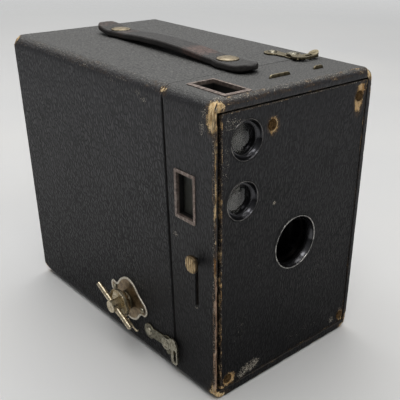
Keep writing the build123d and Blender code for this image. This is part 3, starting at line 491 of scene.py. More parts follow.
def ground_glass():
    s = Mat("ground_glass")
    n = s.noise(0.25, 2, 0.6)
    d = s.noise(6.0, 4, 0.6, seed=4.0)
    c = s.mix(s.smooth(d, 0.35, 0.7), (0.27, 0.28, 0.25), (0.17, 0.17, 0.145))
    return s.pbr(c, 0.55, 0.0, s.bump(n, 0.02), Transmission_Weight=0.75, IOR=1.45)


def mirror():
    s = Mat("mirror_silver")
    d = s.noise(2.5, 4, 0.65, seed=4.0)
    c = s.mix(s.smooth(d, 0.5, 0.75), (0.80, 0.79, 0.74), (0.42, 0.39, 0.33))
    return s.pbr(c, s.add(s.mul(d, 0.2), 0.08), 0.9, s.bump(s.noise(0.5), 0.01))


def red_glass():
    s = Mat("red_celluloid")
    d = s.noise(3.0, 3, 0.6)
    c = s.mix(s.smooth(d, 0.4, 0.7), (0.42, 0.016, 0.010), (0.24, 0.010, 0.008))
    return s.pbr(c, s.add(s.mul(d, 0.15), 0.12), 0.0, s.bump(s.noise(1.5), 0.02), Transmission_Weight=0.4, IOR=1.5)


M_GROUND, M_MIRROR, M_RED = ground_glass(), mirror(), red_glass()


def window_metal(name, side):
    """Thin stamped frame: brown oxide, painted highlight along the edges, throat painted near black as shade."""
    s = Mat(name)
    a = s.noise(1.6, 4, 0.65, seed=1.0)
    c = s.ramp(a, [(0.30, (0.075, 0.056, 0.049)), (0.5, (0.215, 0.165, 0.143)), (0.70, (0.42, 0.355, 0.315)), (0.85, (0.56, 0.50, 0.45))])
    # painted highlight along the edges
    c = s.mix(s.mul(s.edges(0.22), 0.8), c, (0.62, 0.55, 0.49))
    # painted shade: near black and not metallic deeper inside the throat
    xyz = s.split(s.co)
    down = s.add(xyz[0], (HX - 0.55) * MM) if side else s.sub((H - 0.55) * MM, xyz[2])
    k = s.smooth(s.add(down, s.mul(s.sub(a, 0.5), 0.0012)), 0.0, 0.0009)
    c = s.mix(k, c, (0.0045, 0.0042, 0.0040))
    return s.pbr(c, s.add(s.mul(a, 0.3), 0.34), s.mixf(k, 0.6, 0.0), s.bump(a, 0.05))


M_WINDOW_TOP, M_WINDOW_SIDE = window_metal("window_frame_top", False), window_metal("window_frame_side", True)
# the strips are painted near black below 127 mm: painted shade inside the slots
M_STRIP = metal("strip_metal", (0.40, 0.345, 0.225), (0.22, 0.18, 0.11), 0.44, 0.8, seed=13.0, shaded_below=127.0)

LOOK = {
    "casing_shell": M_BOARD, "window_ring": M_NICKEL_DULL, "red_window": M_RED, "tripod_bushes": M_NICKEL_DULL,
    "escutcheon_rivets": M_NICKEL_DULL, "key_bearing": M_BRASS, "key_clip": M_NICKEL, "side_latch_plate": M_PLATE,
    "top_latch_plate": M_TOP, "latch_rivets": M_HOOK, "handle_studs": M_STUD, "handle_washers": M_STEEL,
    "key_collar": M_NICKEL_DULL, "key_shaft": M_NICKEL, "key_crossbar": M_NICKEL, "key_cup": M_NICKEL,
    "side_latch_hook": M_HOOK, "top_latch_hook": M_TOP, "front_frame": M_WOOD, "latch_studs": M_NICKEL,
    "front_panel": M_WOOD, "panel_nails": M_RUST, "finder_lenses": M_GLASS,
    "finder_housing_upper": M_BLACK_IN, "finder_housing_lower": M_BLACK_IN, "finder_mirrors": M_MIRROR,
    "finder_screens": M_GROUND, "top_window_frame": M_WINDOW_TOP, "side_window_frame": M_WINDOW_SIDE,
    "lens_funnel": M_FUNNEL, "lens_board": M_WOOD, "shutter_plate": M_BLACK_IN,
    "board_screws": M_STEEL, "shutter_pivots": M_BRASS, "strip_guides": M_BLACK_IN, "taking_lens": M_LENS,
    "lens_retainer": M_BLACK_IN, "light_trap_collar": M_CARD, "light_cone": M_CARD, "carrier_side_left": M_BLACK,
    "carrier_side_right": M_BLACK, "spool_pins": M_STEEL, "shutter_lever": M_STEEL, "shutter_knob": M_BRASS,
    "shutter_disc": M_BLACK_IN, "stop_strip": M_STRIP, "time_strip": M_STRIP, "takeup_spool": M_SPOOL,
    "takeup_driver": M_STEEL, "supply_spool": M_SPOOL, "film_roller_lower": M_STEEL, "film_roller_upper": M_STEEL,
}
REPLACED = {"casing_cover", "front_cover", "front_panel_cover", "handle_strap", "key_escutcheon", "shutter_knob", "lens_flange_ring", "finder_bezels"}
BEVEL = {
    "window_ring": 0.15, "tripod_bushes": 0.15, "side_latch_plate": 0.22, "top_latch_plate": 0.22, "side_latch_hook": 0.25,
    "top_latch_hook": 0.25, "key_collar": 0.2, "key_shaft": 0.3, "key_cup": 0.12, "top_window_frame": 0.12,
    "side_window_frame": 0.12, "front_panel": 0.2, "front_frame": 0.25,
    "lens_board": 0.2, "shutter_plate": 0.1, "light_trap_collar": 0.1, "carrier_side_left": 0.25, "carrier_side_right": 0.25,
    "takeup_spool": 0.2, "supply_spool": 0.2, "stop_strip": 0.15, "time_strip": 0.15, "panel_nails": 0.1, "board_screws": 0.15,
    "latch_studs": 0.12, "shutter_lever": 0.12, "strip_guides": 0.08, "takeup_driver": 0.15,
}
for name, ob in NODE.items():
    if name in REPLACED:
        continue
    ob.data.materials.clear()
    ob.data.materials.append(LOOK[name])
    if name in BEVEL:
        w = ob.modifiers.new("weld", "WELD")
        w.merge_threshold = 2e-6
        d = ob.modifiers.new("planar", "DECIMATE")
        d.decimate_type = "DISSOLVE"
        d.angle_limit = math.radians(0.6)
        b = ob.modifiers.new("bevel", "BEVEL")
        b.width = BEVEL[name] * MM
        b.segments = 2
        b.limit_method = "ANGLE"
        b.angle_limit = math.radians(32)
        b.use_clamp_overlap = True
        b.harden_normals = False
        for p in ob.data.polygons:
            p.use_smooth = True
        e = ob.modifiers.new("wn", "WEIGHTED_NORMAL")
        e.keep_sharp = False
        e.weight = 80


# ------------------------------------------------------------------ mesh helpers
def fill(a, b, pitch, must=(), fine=None, fine_len=0.0):
    """Positions from a to b, hitting every must value, with an optional finer pitch near both ends."""
    lo, hi = min(a, b), max(a, b)
    marks = [lo, hi] + [m for m in must if lo < m < hi]
    if fine:
        marks += [m for m in (lo + fine_len, hi - fine_len) if lo < m < hi]
    marks = sorted(set(round(m, 5) for m in marks))
    out = []
    for u, v in zip(marks, marks[1:]):
        mid = (u + v) / 2
        p = fine if fine and (mid < lo + fine_len or mid > hi - fine_len) else pitch
        n = max(1, int(round((v - u) / p)))
        out += list(np.linspace(u, v, n, endpoint=False))
    out.append(hi)
    return out if a < b else out[::-1]


def perimeter(pitch, must, arc=9, fine=None, fine_len=0.0):
    """The rounded outline of the body: x, z, normal x, normal z, walking round from the underside."""
    r = EDGE
    pts = []
    def seg(vals, f):
        for v in vals[:-1]:
            pts.append(f(v))
    def corner(cx, cz, a0):
        for k in range(arc):
            a = math.radians(a0 + 90 * k / arc)
            pts.append((cx + r * math.cos(a), cz + r * math.sin(a), math.cos(a), math.sin(a)))
    seg(fill(-HX + r, HX - r, pitch, must.get("bottom", ()), fine, fine_len), lambda v: (v, 0.0, 0.0, -1.0))
    corner(HX - r, r, -90)
    seg(fill(r, H - r, pitch, must.get("right", ()), fine, fine_len), lambda v: (HX, v, 1.0, 0.0))
    corner(HX - r, H - r, 0)
    seg(fill(HX - r, -HX + r, pitch, must.get("top", ()), fine, fine_len), lambda v: (v, H, 0.0, 1.0))
    corner(-HX + r, H - r, 90)
    seg(fill(H - r, r, pitch, must.get("left", ()), fine, fine_len), lambda v: (-HX, v, -1.0, 0.0))
    corner(-HX + r, r, 180)
    return np.array(pts)


def grid_faces(rows, cols, wrap):
    c = cols if wrap else cols - 1
    i, j = np.meshgrid(np.arange(rows - 1), np.arange(c), indexing="ij")
    j2 = (j + 1) % cols
    a, b = i * cols + j, i * cols + j2
    cc, d = (i + 1) * cols + j2, (i + 1) * cols + j
    return np.stack([a, b, cc, d], -1).reshape(-1, 4)


def cut_round(P, F, on, uv, centre, r):
    """Removes the faces inside a circle and snaps the cut edge to it. on: vertices that lie in the plane."""
    dist = np.hypot(uv[:, 0] - centre[0], uv[:, 1] - centre[1])
    fm = on[F].all(1)
    cen = uv[F].mean(1)
    gone = fm & (np.hypot(cen[:, 0] - centre[0], cen[:, 1] - centre[1]) < r)
    touched, kept = np.zeros(len(P), bool), np.zeros(len(P), bool)
    touched[F[gone].ravel()] = True
    kept[F[~gone].ravel()] = True
    rim = touched & kept
    k = r / np.maximum(dist[rim], 1e-6)
    new = np.stack([centre[0] + (uv[rim, 0] - centre[0]) * k, centre[1] + (uv[rim, 1] - centre[1]) * k], 1)
    return F[~gone], rim, new


def cut_rect(F, on, uv, box):
    fm = on[F].all(1)
    c = uv[F].mean(1)
    gone = fm & (c[:, 0] > box[0]) & (c[:, 0] < box[1]) & (c[:, 1] > box[2]) & (c[:, 1] < box[3])
    return F[~gone]


def make(name, P, F, attrs, mat, body, replaces=(), thick=0.0, merge=True):
    """P in mm as x, d, z."""
    V = P.copy()
    V[:, 1] += Y0
    me = bpy.data.meshes.new(name)
    me.from_pydata((V * MM).tolist(), [], F.tolist())
    for k, v in attrs.items():
        a = me.attributes.new(k, "FLOAT", "POINT")
        a.data.foreach_set("value", np.asarray(v, np.float32))
    bm = bmesh.new()
    bm.from_mesh(me)
    if merge:
        bmesh.ops.remove_doubles(bm, verts=bm.verts, dist=3e-6)
    loose = [v for v in bm.verts if not v.link_faces]
    bmesh.ops.delete(bm, geom=loose, context="VERTS")
    bmesh.ops.recalc_face_normals(bm, faces=bm.faces)
    bm.to_mesh(me)
    bm.free()
    me.shade_smooth()
    me.materials.append(mat)
    ob = bpy.data.objects.new(name, me)
    scene.collection.objects.link(ob)
    if thick:
        s = ob.modifiers.new("thickness", "SOLIDIFY")
        s.thickness = thick * MM
        s.offset = -1.0
        s.use_even_offset = True
        s.use_rim = True
    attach(ob, body)
    if replaces:
        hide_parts(*replaces)
    return ob


def relief(P, seed, grain):
    """Height of the covering above nominal, mm: slack and swelling over the board, and the larger pebbles."""
    a = (fnoise(P, 34.0, seed, 2) - 0.5) * 0.16
    b = (fnoise(P, (6, 6, 8), seed + 3, 2) - 0.5) * 0.07
    c = (0.62 - cells(P, grain, seed + 8)) * 0.05
    return a + b + c


def seam_d(z):
    return SEAM_LOW + (SEAM_HIGH - SEAM_LOW) * z / H


# ------------------------------------------------------------------ casing covering
def casing_cover():
    per = perimeter(0.8, {"left": (), "top": ()}, fine=0.5, fine_len=4.0)
    x, z, nx, nz = per.T
    n = len(per)
    rows_P, rows_N = [], []
    gap = np.where(z > 127.0, 0.125, 0.65)
    d0 = seam_d(z) + gap
    D1 = DEPTH - 1.2
    ts = np.array(fill(0.0, 120.0, 0.8, fine=0.45, fine_len=8.0)) / 120.0
    # the seam edge is turned over a small radius
    for a in (0, 30, 60):
        k = 0.3 * (1 - math.sin(math.radians(a)))
        rows_P.append(np.stack([x - nx * k, d0 + 0.3 * (1 - math.cos(math.radians(a))), z - nz * k], 1))
        rows_N.append(np.stack([nx, np.full(n, -0.5), nz], 1))
    for t in ts[1:] if False else ts:
        d = (d0 + 0.3) + (D1 - d0 - 0.3) * t
        rows_P.append(np.stack([x, d, z], 1))
        rows_N.append(np.stack([nx, np.zeros(n), nz], 1))
    for a in (20, 45, 70, 90):
        s, c = math.sin(math.radians(a)), math.cos(math.radians(a))
        rows_P.append(np.stack([x - nx * 1.2 * (1 - c), np.full(n, D1 + 1.2 * s), z - nz * 1.2 * (1 - c)], 1))
        rows_N.append(np.stack([nx * c, np.full(n, s), nz * c], 1))
    x1, z1 = rows_P[-1][:, 0], rows_P[-1][:, 2]
    ha, hb = HX - 1.2, H / 2 - 1.2
    for q in np.linspace(0, 1, 58)[1:]:
        rows_P.append(np.stack([x1 * (1 - q), np.full(n, DEPTH), H / 2 + (z1 - H / 2) * (hb - ha * q) / hb], 1))
        rows_N.append(np.stack([np.zeros(n), np.ones(n), np.zeros(n)], 1))
    P, N = np.concatenate(rows_P), np.concatenate(rows_N)
    F = grid_faces(len(rows_P), n, True)
    # round holes: red window, sockets, key bearing
    on_back = (P[:, 1] > DEPTH - 0.01)
    for on, uv, cols, c, r in (
        (on_back, P[:, (0, 2)], (0, 2), (0.0, 88.0), 6.9),
        (P[:, 2] < 0.01, P[:, (0, 1)], (0, 1), (0.0, 93.4), 5.5),
        (P[:, 0] > HX - 0.01, P[:, (1, 2)], (1, 2), (93.4, H / 2), 5.5),
        (P[:, 0] < -HX + 0.01, P[:, (1, 2)], (1, 2), (63.0, 22.2), 4.95),
    ):
        F, rim, new = cut_round(P, F, on, uv, c, r)
        idx = np.where(rim)[0]
        P[idx[:, None], np.array(cols)[None, :]] = new
    # wear, in mm, positive where the cloth is gone
    W = np.full(len(P), -3.0)
    for c, r in (((-43.8, 30.2, 130.3), (1.5, 1.5, 1.6)), ((43.6, 31.0, 130.6), (2.0, 2.0, 2.0)),
                 ((-43.9, 150.0, 131.0), (3.2, 2.8, 3.6)), ((43.9, 150.0, 131.0), (3.6, 3.0, 4.4)),
                 ((-43.9, 150.0, 0.5), (3.4, 3.4, 4.6)), ((43.9, 150.0, 0.5), (3.6, 3.6, 4.0)),
                 ((-43.9, 27.5, 0.4), (1.8, 1.6, 2.0)), ((43.9, 27.5, 0.4), (1.8, 1.6, 2.0))):
        W = np.maximum(W, blob(P, c, r))
    corner = (np.abs(N[:, 0]) > 0.3) & (np.abs(N[:, 2]) > 0.3)
    ridge = np.where(corner, fnoise(P, (3, 9, 3), 71, 3) * 2.6 - 2.5, -3)
    W = np.maximum(W, ridge * 0.8)
    back_edge = (np.abs(P[:, 1] - DEPTH + 0.4) < 0.9) & (np.abs(N[:, 1]) > 0.2) & (np.abs(N[:, 1]) < 0.98)
    W = np.maximum(W, np.where(back_edge, fnoise(P, (5, 3, 5), 77, 3) * 2.6 - 2.1, -3))
    S = np.zeros(len(P))
    for c, r, a in (((-44.2, 63, 126.5), (2, 6, 2.5), 0.6), ((-44.2, 45.5, 125.5), (2, 3.5, 2.2), 0.75), ((-44.2, 41.5, 123.2), (2, 3.5, 2.2), 0.85),
                    ((-44.2, 88, 100), (2, 8, 6), 0.45), ((-44.2, 60, 45), (2, 14, 8), 0.4), ((-44.2, 52, 36), (2, 8, 5), 0.5)):
        S = np.maximum(S, a * step(blob(P, c, r) / min(r), 0, 0.7))
    edge_rub = np.where(corner, 0.30 + 0.35 * fnoise(P, (2, 14, 2), 5, 2), 0)
    S = np.maximum(S, edge_rub)
    hgt = relief(P, 3, (2.3, 2.3, 4.6))
    fade = np.ones(len(P))
    for on, uv, c, r in ((P[:, 2] < 0.01, P[:, (0, 1)], (0.0, 93.4), 5.5), (P[:, 0] > HX - 0.01, P[:, (1, 2)], (93.4, H / 2), 5.5),
                         (on_back, P[:, (0, 2)], (0.0, 88.0), 9.0)):
        dd = np.hypot(uv[:, 0] - c[0], uv[:, 1] - c[1])
        fade = np.where(on, fade * step(dd, r, r + 3), fade)
    hgt = hgt * fade - 0.30 * step(W + (fnoise(P, 1.4, 9, 2) - 0.5) * 1.4, 0.0, 0.5)
    Nn = N / np.linalg.norm(N, axis=1)[:, None]
    Q = P + Nn * hgt[:, None]
    Q[:, 2] = np.maximum(Q[:, 2], 0.0)
    return make("casing_leatherette", Q, F, {"wear": W, "scuff_and_glint": S, "tint": np.zeros(len(P))}, M_CASE, "casing",
                ("casing_cover",), 0.45)


# ------------------------------------------------------------------ front section covering
def front_cover():
    must = {"left": (44.3, 67.1, 81.0, 101.0), "top": (-36.7, -23.7, -6.4, 5.4, 19.05, 24.95)}
    per = perimeter(0.7, must, arc=12, fine=0.4, fine_len=12.0)
    x, z, nx, nz = per.T
    n = len(per)
    rows_P, rows_N, arc_at = [], [], []
    R = 0.8 + 2.1 * np.clip(nz, 0, 1) ** 1.5

    def row(px, pd, pz, ax, ad, az, arc=0.0):
        one = np.ones(n)
        rows_P.append(np.stack([px, pd * one, pz], 1))
        rows_N.append(np.stack([ax * one, ad * one, az * one], 1))
        arc_at.append(np.full(n, arc))

    # rim: from the mouth edge outwards
    mx, mz = np.clip(x, MOUTH[0], MOUTH[1]), np.clip(z, MOUTH[2], MOUTH[3])
    ox, oz = x - nx * R, z - nz * R
    row(mx, 0.45, mz, 0, -1, 0)
    for q in np.linspace(0.0, 1.0, 7):
        row(mx + (ox - mx) * q, 0.12 * (1 - q) ** 6, mz + (oz - mz) * q, 0, -1, 0)
    for a in np.linspace(0, 90, 13)[1:]:
        sn, cs = math.sin(math.radians(a)), math.cos(math.radians(a))
        row(x - nx * R * (1 - sn), R * (1 - cs), z - nz * R * (1 - sn), nx * sn, -cs, nz * sn, a / 90)
    for t in (0.34, 0.67, 1.0):
        row(x, R + (2.9 - R) * t, z, nx, 0, nz, 1.0)
    for d in fill(2.9, 24.6, 0.7, (9.6, 10.9, 11.15, 11.6, 12.25, 23.1, 24.3), fine=0.45, fine_len=3.0)[1:]:
        row(x, d, z, nx, 0, nz, 2.0)
    gap = np.where(z > 127.0, 0.125, 0.65)
    d1 = seam_d(z) - gap - 0.3
    for t in np.linspace(0, 1, 9)[1:]:
        row(x, 24.6 + (d1 - 24.6) * t, z, nx, 0, nz, 2.0)
    for a in (30, 60, 90):
        k = 0.3 * (1 - math.cos(math.radians(a)))
        row(x - nx * k, d1 + 0.3 * math.sin(math.radians(a)), z - nz * k, nx, 0.5, nz, 2.0)
    P, N, ARC = np.concatenate(rows_P), np.concatenate(rows_N), np.concatenate(arc_at)
    F = grid_faces(len(rows_P), n, True)[:, ::-1]
    left, top = P[:, 0] < -HX + 0.01, P[:, 2] > H - 0.01
    F = cut_rect(F, left, P[:, (1, 2)], (10.9, 23.1, 81.0, 101.0))
    F = cut_rect(F, left, P[:, (1, 2)], (9.6, 11.6, 44.3, 67.1))
    F = cut_rect(F, top, P[:, (0, 1)], (-36.7, -23.7, 2.9, 24.3))
    F = cut_rect(F, top, P[:, (0, 1)], (-6.4, 5.4, 11.15, 12.25))
    F = cut_rect(F, top, P[:, (0, 1)], (19.05, 24.95, 11.15, 12.25))
    W = np.full(len(P), -3.0)
    for c, r in (((-44.6, 0.8, 125.2), (3.0, 3.2, 5.6)), ((-43.6, 0.9, 129.4), (3.6, 3.4, 3.4)), ((-41.4, 0.4, 129.0), (2.2, 1.6, 1.8)),
                 ((-44.0, 0.9, 1.2), (3.6, 3.6, 4.2)), ((-41.2, 0.0, 1.6), (3.2, 1.2, 1.4)), ((-44.2, 0.4, 6.5), (1.6, 1.4, 3.6)),
                 ((43.6, 0.4, 129.4), (3.4, 2.6, 3.4)), ((44.4, 0.4, 124.0), (1.0, 1.0, 4.0)), ((44.4, 0.4, 4.2), (2.0, 1.8, 5.5)), ((42.0, 0.3, 0.9), (3.2, 1.2, 1.2)),
                 ((-44.0, 28.6, 130.3), (1.3, 0.8, 1.3)), ((-43.4, 25.2, 0.5), (1.8, 1.2, 1.6))):
        W = np.maximum(W, blob(P, c, r) * 0.9)
    # the narrow left rim is rubbed all the way down, in streaks
    strip_in = (P[:, 0] < -42.3) & (P[:, 1] < 0.85) & (P[:, 2] > 1) & (P[:, 2] < 130)
    across = P[:, 0] + HX                                   # 0 at the outer edge
    streak = fnoise(P, (0.7, 1.0, 6.0), 31, 4)
    lowz = step(P[:, 2], 66, 56)
    core = 1.0 - np.abs(across - 0.80 - 0.15 * lowz) / (0.62 + 0.33 * lowz)
    W = np.maximum(W, np.where(strip_in, (streak - 0.60) * 3.8 + (0.75 + 0.35 * lowz) * np.clip(core, -1.6, 1) + 0.25 * lowz
                               - 0.25 * step(P[:, 2], 70, 95), -3))
    # rubbed edges elsewhere
    edge_in = (ARC > 0.12) & (ARC < 1.0) & (P[:, 0] > -42)
    lift = np.where((P[:, 0] > 43) & (P[:, 2] > 92), 0.5, 0.0) + np.where(P[:, 2] < 2, 0.35, 0.0)
    W = np.maximum(W, np.where(edge_in, (fnoise(P, (4, 1.0, 4), 41, 3) - 0.62) * 3.0 + lift - 0.35, -3))
    lip_in = (P[:, 1] > 0.02) & (P[:, 1] < 0.3) & (np.abs(N[:, 1]) > 0.99) & (P[:, 0] > -42)
    W = np.maximum(W, np.where(lip_in, (fnoise(P, (6, 1.0, 6), 43, 3) - 0.80) * 2.0 - 0.3, -3))
    S = np.zeros(len(P))
    for c, r, a in (((-44.2, 6.6, 120.5), (2, 3.0, 4.6), 0.95), ((-44.2, 5.2, 126.5), (2, 3.0, 4.0), 0.85), ((-44.2, 24.0, 72.6), (2, 2.6, 2.2), 1.0),
                    ((-44.2, 11.2, 43.4), (2, 1.6, 1.0), 1.25), ((-44.2, 14, 30), (2, 6, 10), 0.3), ((-38.5, 3.4, 131.3), (5.5, 3.0, 2), 0.9)):
        S = np.maximum(S, a * step(blob(P, c, r) / min(r), 0, 0.7))
    # painted highlight: the pale scuff along the soft top edge and the left front edge stands for light catching the
    # worn grain
    S = np.maximum(S, np.where((ARC > 0.35) & (ARC < 1.0) & (N[:, 2] > 0.2), 0.66, 0))
    S = np.maximum(S, np.where((ARC > 0.2) & (ARC < 1.0) & (P[:, 0] < -40) & (N[:, 0] < -0.2), 0.70, 0))
    T = np.zeros(len(P))
    zz = P[:, 2]
    T = np.where(strip_in, step(zz, 72, 58) * 0.9, T)
    T = np.where(strip_in & (zz > 62) & (zz < 78), -step(zz, 62, 66) * step(zz, 77, 73) * 0.9, T)
    T = np.where(strip_in & (zz < 9), T * step(zz, 3, 9), T)
    D = np.where(strip_in, 0.85 - 0.45 * step(zz, 66, 56), 0.0)
    hgt = relief(P, 13, (1.9, 1.9, 4.4)) * np.where(np.abs(N[:, 1]) > 0.5, 0.45, 1.0)
    for c0 in ((-30.2, 13.6, H, 8, 12.5, 3), (-HX, 17.0, 91.0, 3, 8, 12)):
        pass
    hgt = hgt - 0.26 * step(W + (fnoise(P, 1.2, 19, 2) - 0.5) * 1.2, 0.0, 0.5)
    first = np.zeros(len(P)); first[:n] = 1
    hgt = hgt * (1 - first)
    Nn = N / np.linalg.norm(N, axis=1)[:, None]
    Q = P + Nn * hgt[:, None]
    Q[:, 2] = np.maximum(Q[:, 2], 0.0)
    return make("front_leatherette", Q, F, {"wear": W, "scuff_and_glint": S, "tint": T, "soil": D}, M_FRONT, "front_section",
                ("front_cover",), 0.42)


# ------------------------------------------------------------------ front panel covering
def panel_cover():
    x0, x1, z0, z1 = PLO[0], PHI[0], PLO[2], PHI[2]
    r, dface = 0.40, 0.30
    L = r * math.pi / 2
    wall = 2.6
    skirt = [0.0, L / 4, L / 2, 3 * L / 4, L, L + 0.5, L + wall]
    us = [-s for s in skirt[::-1]][:-1]
    ux = np.array(us + fill(0, (x1 - x0) - 2 * r, 0.6, fine=0.36, fine_len=5.0) + [(x1 - x0) - 2 * r + s for s in skirt[1:]])
    uz = np.array(us + fill(0, (z1 - z0) - 2 * r, 0.6, fine=0.36, fine_len=5.0) + [(z1 - z0) - 2 * r + s for s in skirt[1:]])
    gx, gz = np.meshgrid(ux, uz, indexing="ij")
    gx, gz = gx.ravel(), gz.ravel()
    wx, wz = (x1 - x0) - 2 * r, (z1 - z0) - 2 * r
    fx, fz = np.clip(gx, 0, wx), np.clip(gz, 0, wz)
    qx, qz = gx - fx, gz - fz
    q = np.minimum(np.maximum(np.abs(qx), np.abs(qz)), L + wall)
    ln = np.maximum(np.hypot(qx, qz), 1e-9)
    dx, dz = qx / ln, qz / ln
    th = np.clip(q / r, 0, math.pi / 2)
    out = r * np.sin(th)
    dep = np.where(q <= L, r * (1 - np.cos(th)), r + (q - L))
    P = np.stack([x0 + r + fx + dx * out, dface + dep, z0 + r + fz + dz * out], 1)
    N = np.stack([dx * np.sin(th), -np.cos(th), dz * np.sin(th)], 1)
    N[q == 0] = (0, -1, 0)
    F = grid_faces(len(ux), len(uz), False)
    on = P[:, 1] < dface + 0.001
    hole_d = np.full(len(P), 99.0)
    for c, rr in ((LENS, 12.1), (FINDERS[0], 8.2), (FINDERS[1], 8.2)):
        F, rim, new = cut_round(P, F, on, P[:, (0, 2)], c, rr)
        idx = np.where(rim)[0]
        P[idx[:, None], np.array((0, 2))[None, :]] = new
        hole_d = np.minimum(hole_d, np.hypot(P[:, 0] - c[0], P[:, 2] - c[1]) - rr)
    X, Z = P[:, 0], P[:, 2]
    P3 = P.copy()

    def spot(cx, cz, rx, rz):
        return (1 - np.sqrt(((X - cx) / rx) ** 2 + ((Z - cz) / rz) ** 2)) * min(rx, rz)

    W = np.full(len(P), -3.0)
    for a in ((-14.4, 117.4, 2.7, 3.3), (36.4, 118.2, 2.6, 5.4), (37.6, 122.6, 2.6, 2.8), (-35.8, 8.0, 3.4, 3.0),
              (-39.8, 4.9, 1.3, 1.1), (38.9, 8.2, 2.0, 3.0), (41.0, 5.0, 1.0, 1.8)):
        W = np.maximum(W, spot(*a))
    # rubbed edges: broken dashes down the left edge, thin line elsewhere
    e_left, e_right, e_top, e_bot = X - x0, x1 - X, z1 - Z, Z - z0
    dash = fnoise(P3, (1.0, 1.0, 2.6), 51, 3)
    W = np.maximum(W, np.where(e_left < 0.6, (dash - 0.60) * 3.2 - 0.05, -3))
    W = np.maximum(W, np.where(e_top < 0.4, (fnoise(P3, (5.0, 1, 1), 53, 3) - 0.72) * 2.4, -3))
    W = np.maximum(W, np.where(e_right < 0.4, (fnoise(P3, (1, 1, 4.0), 54, 3) - 0.66) * 2.4, -3))
    W = np.maximum(W, np.where(e_bot < 0.5, (fnoise(P3, (4.0, 1, 1), 55, 3) - 0.60) * 2.4, -3))
    S = np.zeros(len(P))
    for cx, cz, rx, rz, a in ((-24.4, 8.0, 7.8, 5.8, 1.08), (-20.6, 8.8, 5.4, 5.0, 1.05), (-28.2, 7.0, 4.6, 4.2, 1.03), (-12.1, 84.9, 1.2, 1.4, 2.0),
                              (32.4, 8.0, 2.8, 3.4, 1.1), (38.8, 12.0, 2.4, 2.4, 0.9), (-35, 122, 8, 5, 0.75), (-38, 108, 3, 14, 0.6), (-20, 60, 3, 12, 0.35), (22, 40, 16, 20, 0.28), (-30, 30, 8, 16, 0.35), (10, 12, 24, 5, 0.4)):
        S = np.maximum(S, a * step(spot(cx, cz, rx, rz) / min(rx, rz), 0, 0.75))
    # pale lines along the left, top and right edges: painted highlight where the rounded edges catch the light,
    # together with rubbing
    S = np.maximum(S, 0.62 * step(1.3 - e_left, 0, 1.1))
    S = np.maximum(S, 0.80 * step(1.1 - e_top, 0, 0.8))
    S = np.maximum(S, 0.50 * step(0.9 - e_right, 0, 0.8))
    soil = 0.9 * np.exp(-(np.minimum.reduce([np.hypot(X - a, Z - b) for a, b in NAILS]) / 2.4) ** 2)
    rl = np.hypot(X - LENS[0], Z - LENS[1])
    hgt = relief(P3, 23, (1.8, 1.8, 4.2)) * 0.8
    hgt = hgt * step(hole_d, 0.0, 1.6)
    # ring pressed into the cloth round the lens, softer ones round the finders
    hgt -= 0.16 * np.exp(-((rl - 13.9) / 0.40) ** 2)
    hgt += 0.10 * np.exp(-((rl - 13.0) / 0.45) ** 2)
    for c in FINDERS:
        rf = np.hypot(X - c[0], Z - c[1])
        hgt -= 0.10 * np.exp(-((rf - 9.7) / 0.5) ** 2)
    for nx_, nz_ in NAILS:
        rn = np.hypot(X - nx_, Z - nz_)
        hgt -= 0.10 * np.exp(-(rn / 2.6) ** 2)
    hgt -= 0.22 * step(W + (fnoise(P3, 1.1, 29, 2) - 0.5) * 1.2, 0.0, 0.5)
    hgt = np.where(P[:, 1] > dface + r + 0.3, 0, hgt)
    Q = P + N * hgt[:, None]
    return make("panel_leatherette", Q, F, {"wear": W, "scuff_and_glint": S, "tint": -0.30 * step(W, -1, 1), "soil": soil}, M_PANEL, "front_section",
                ("front_panel_cover",), 0.40)


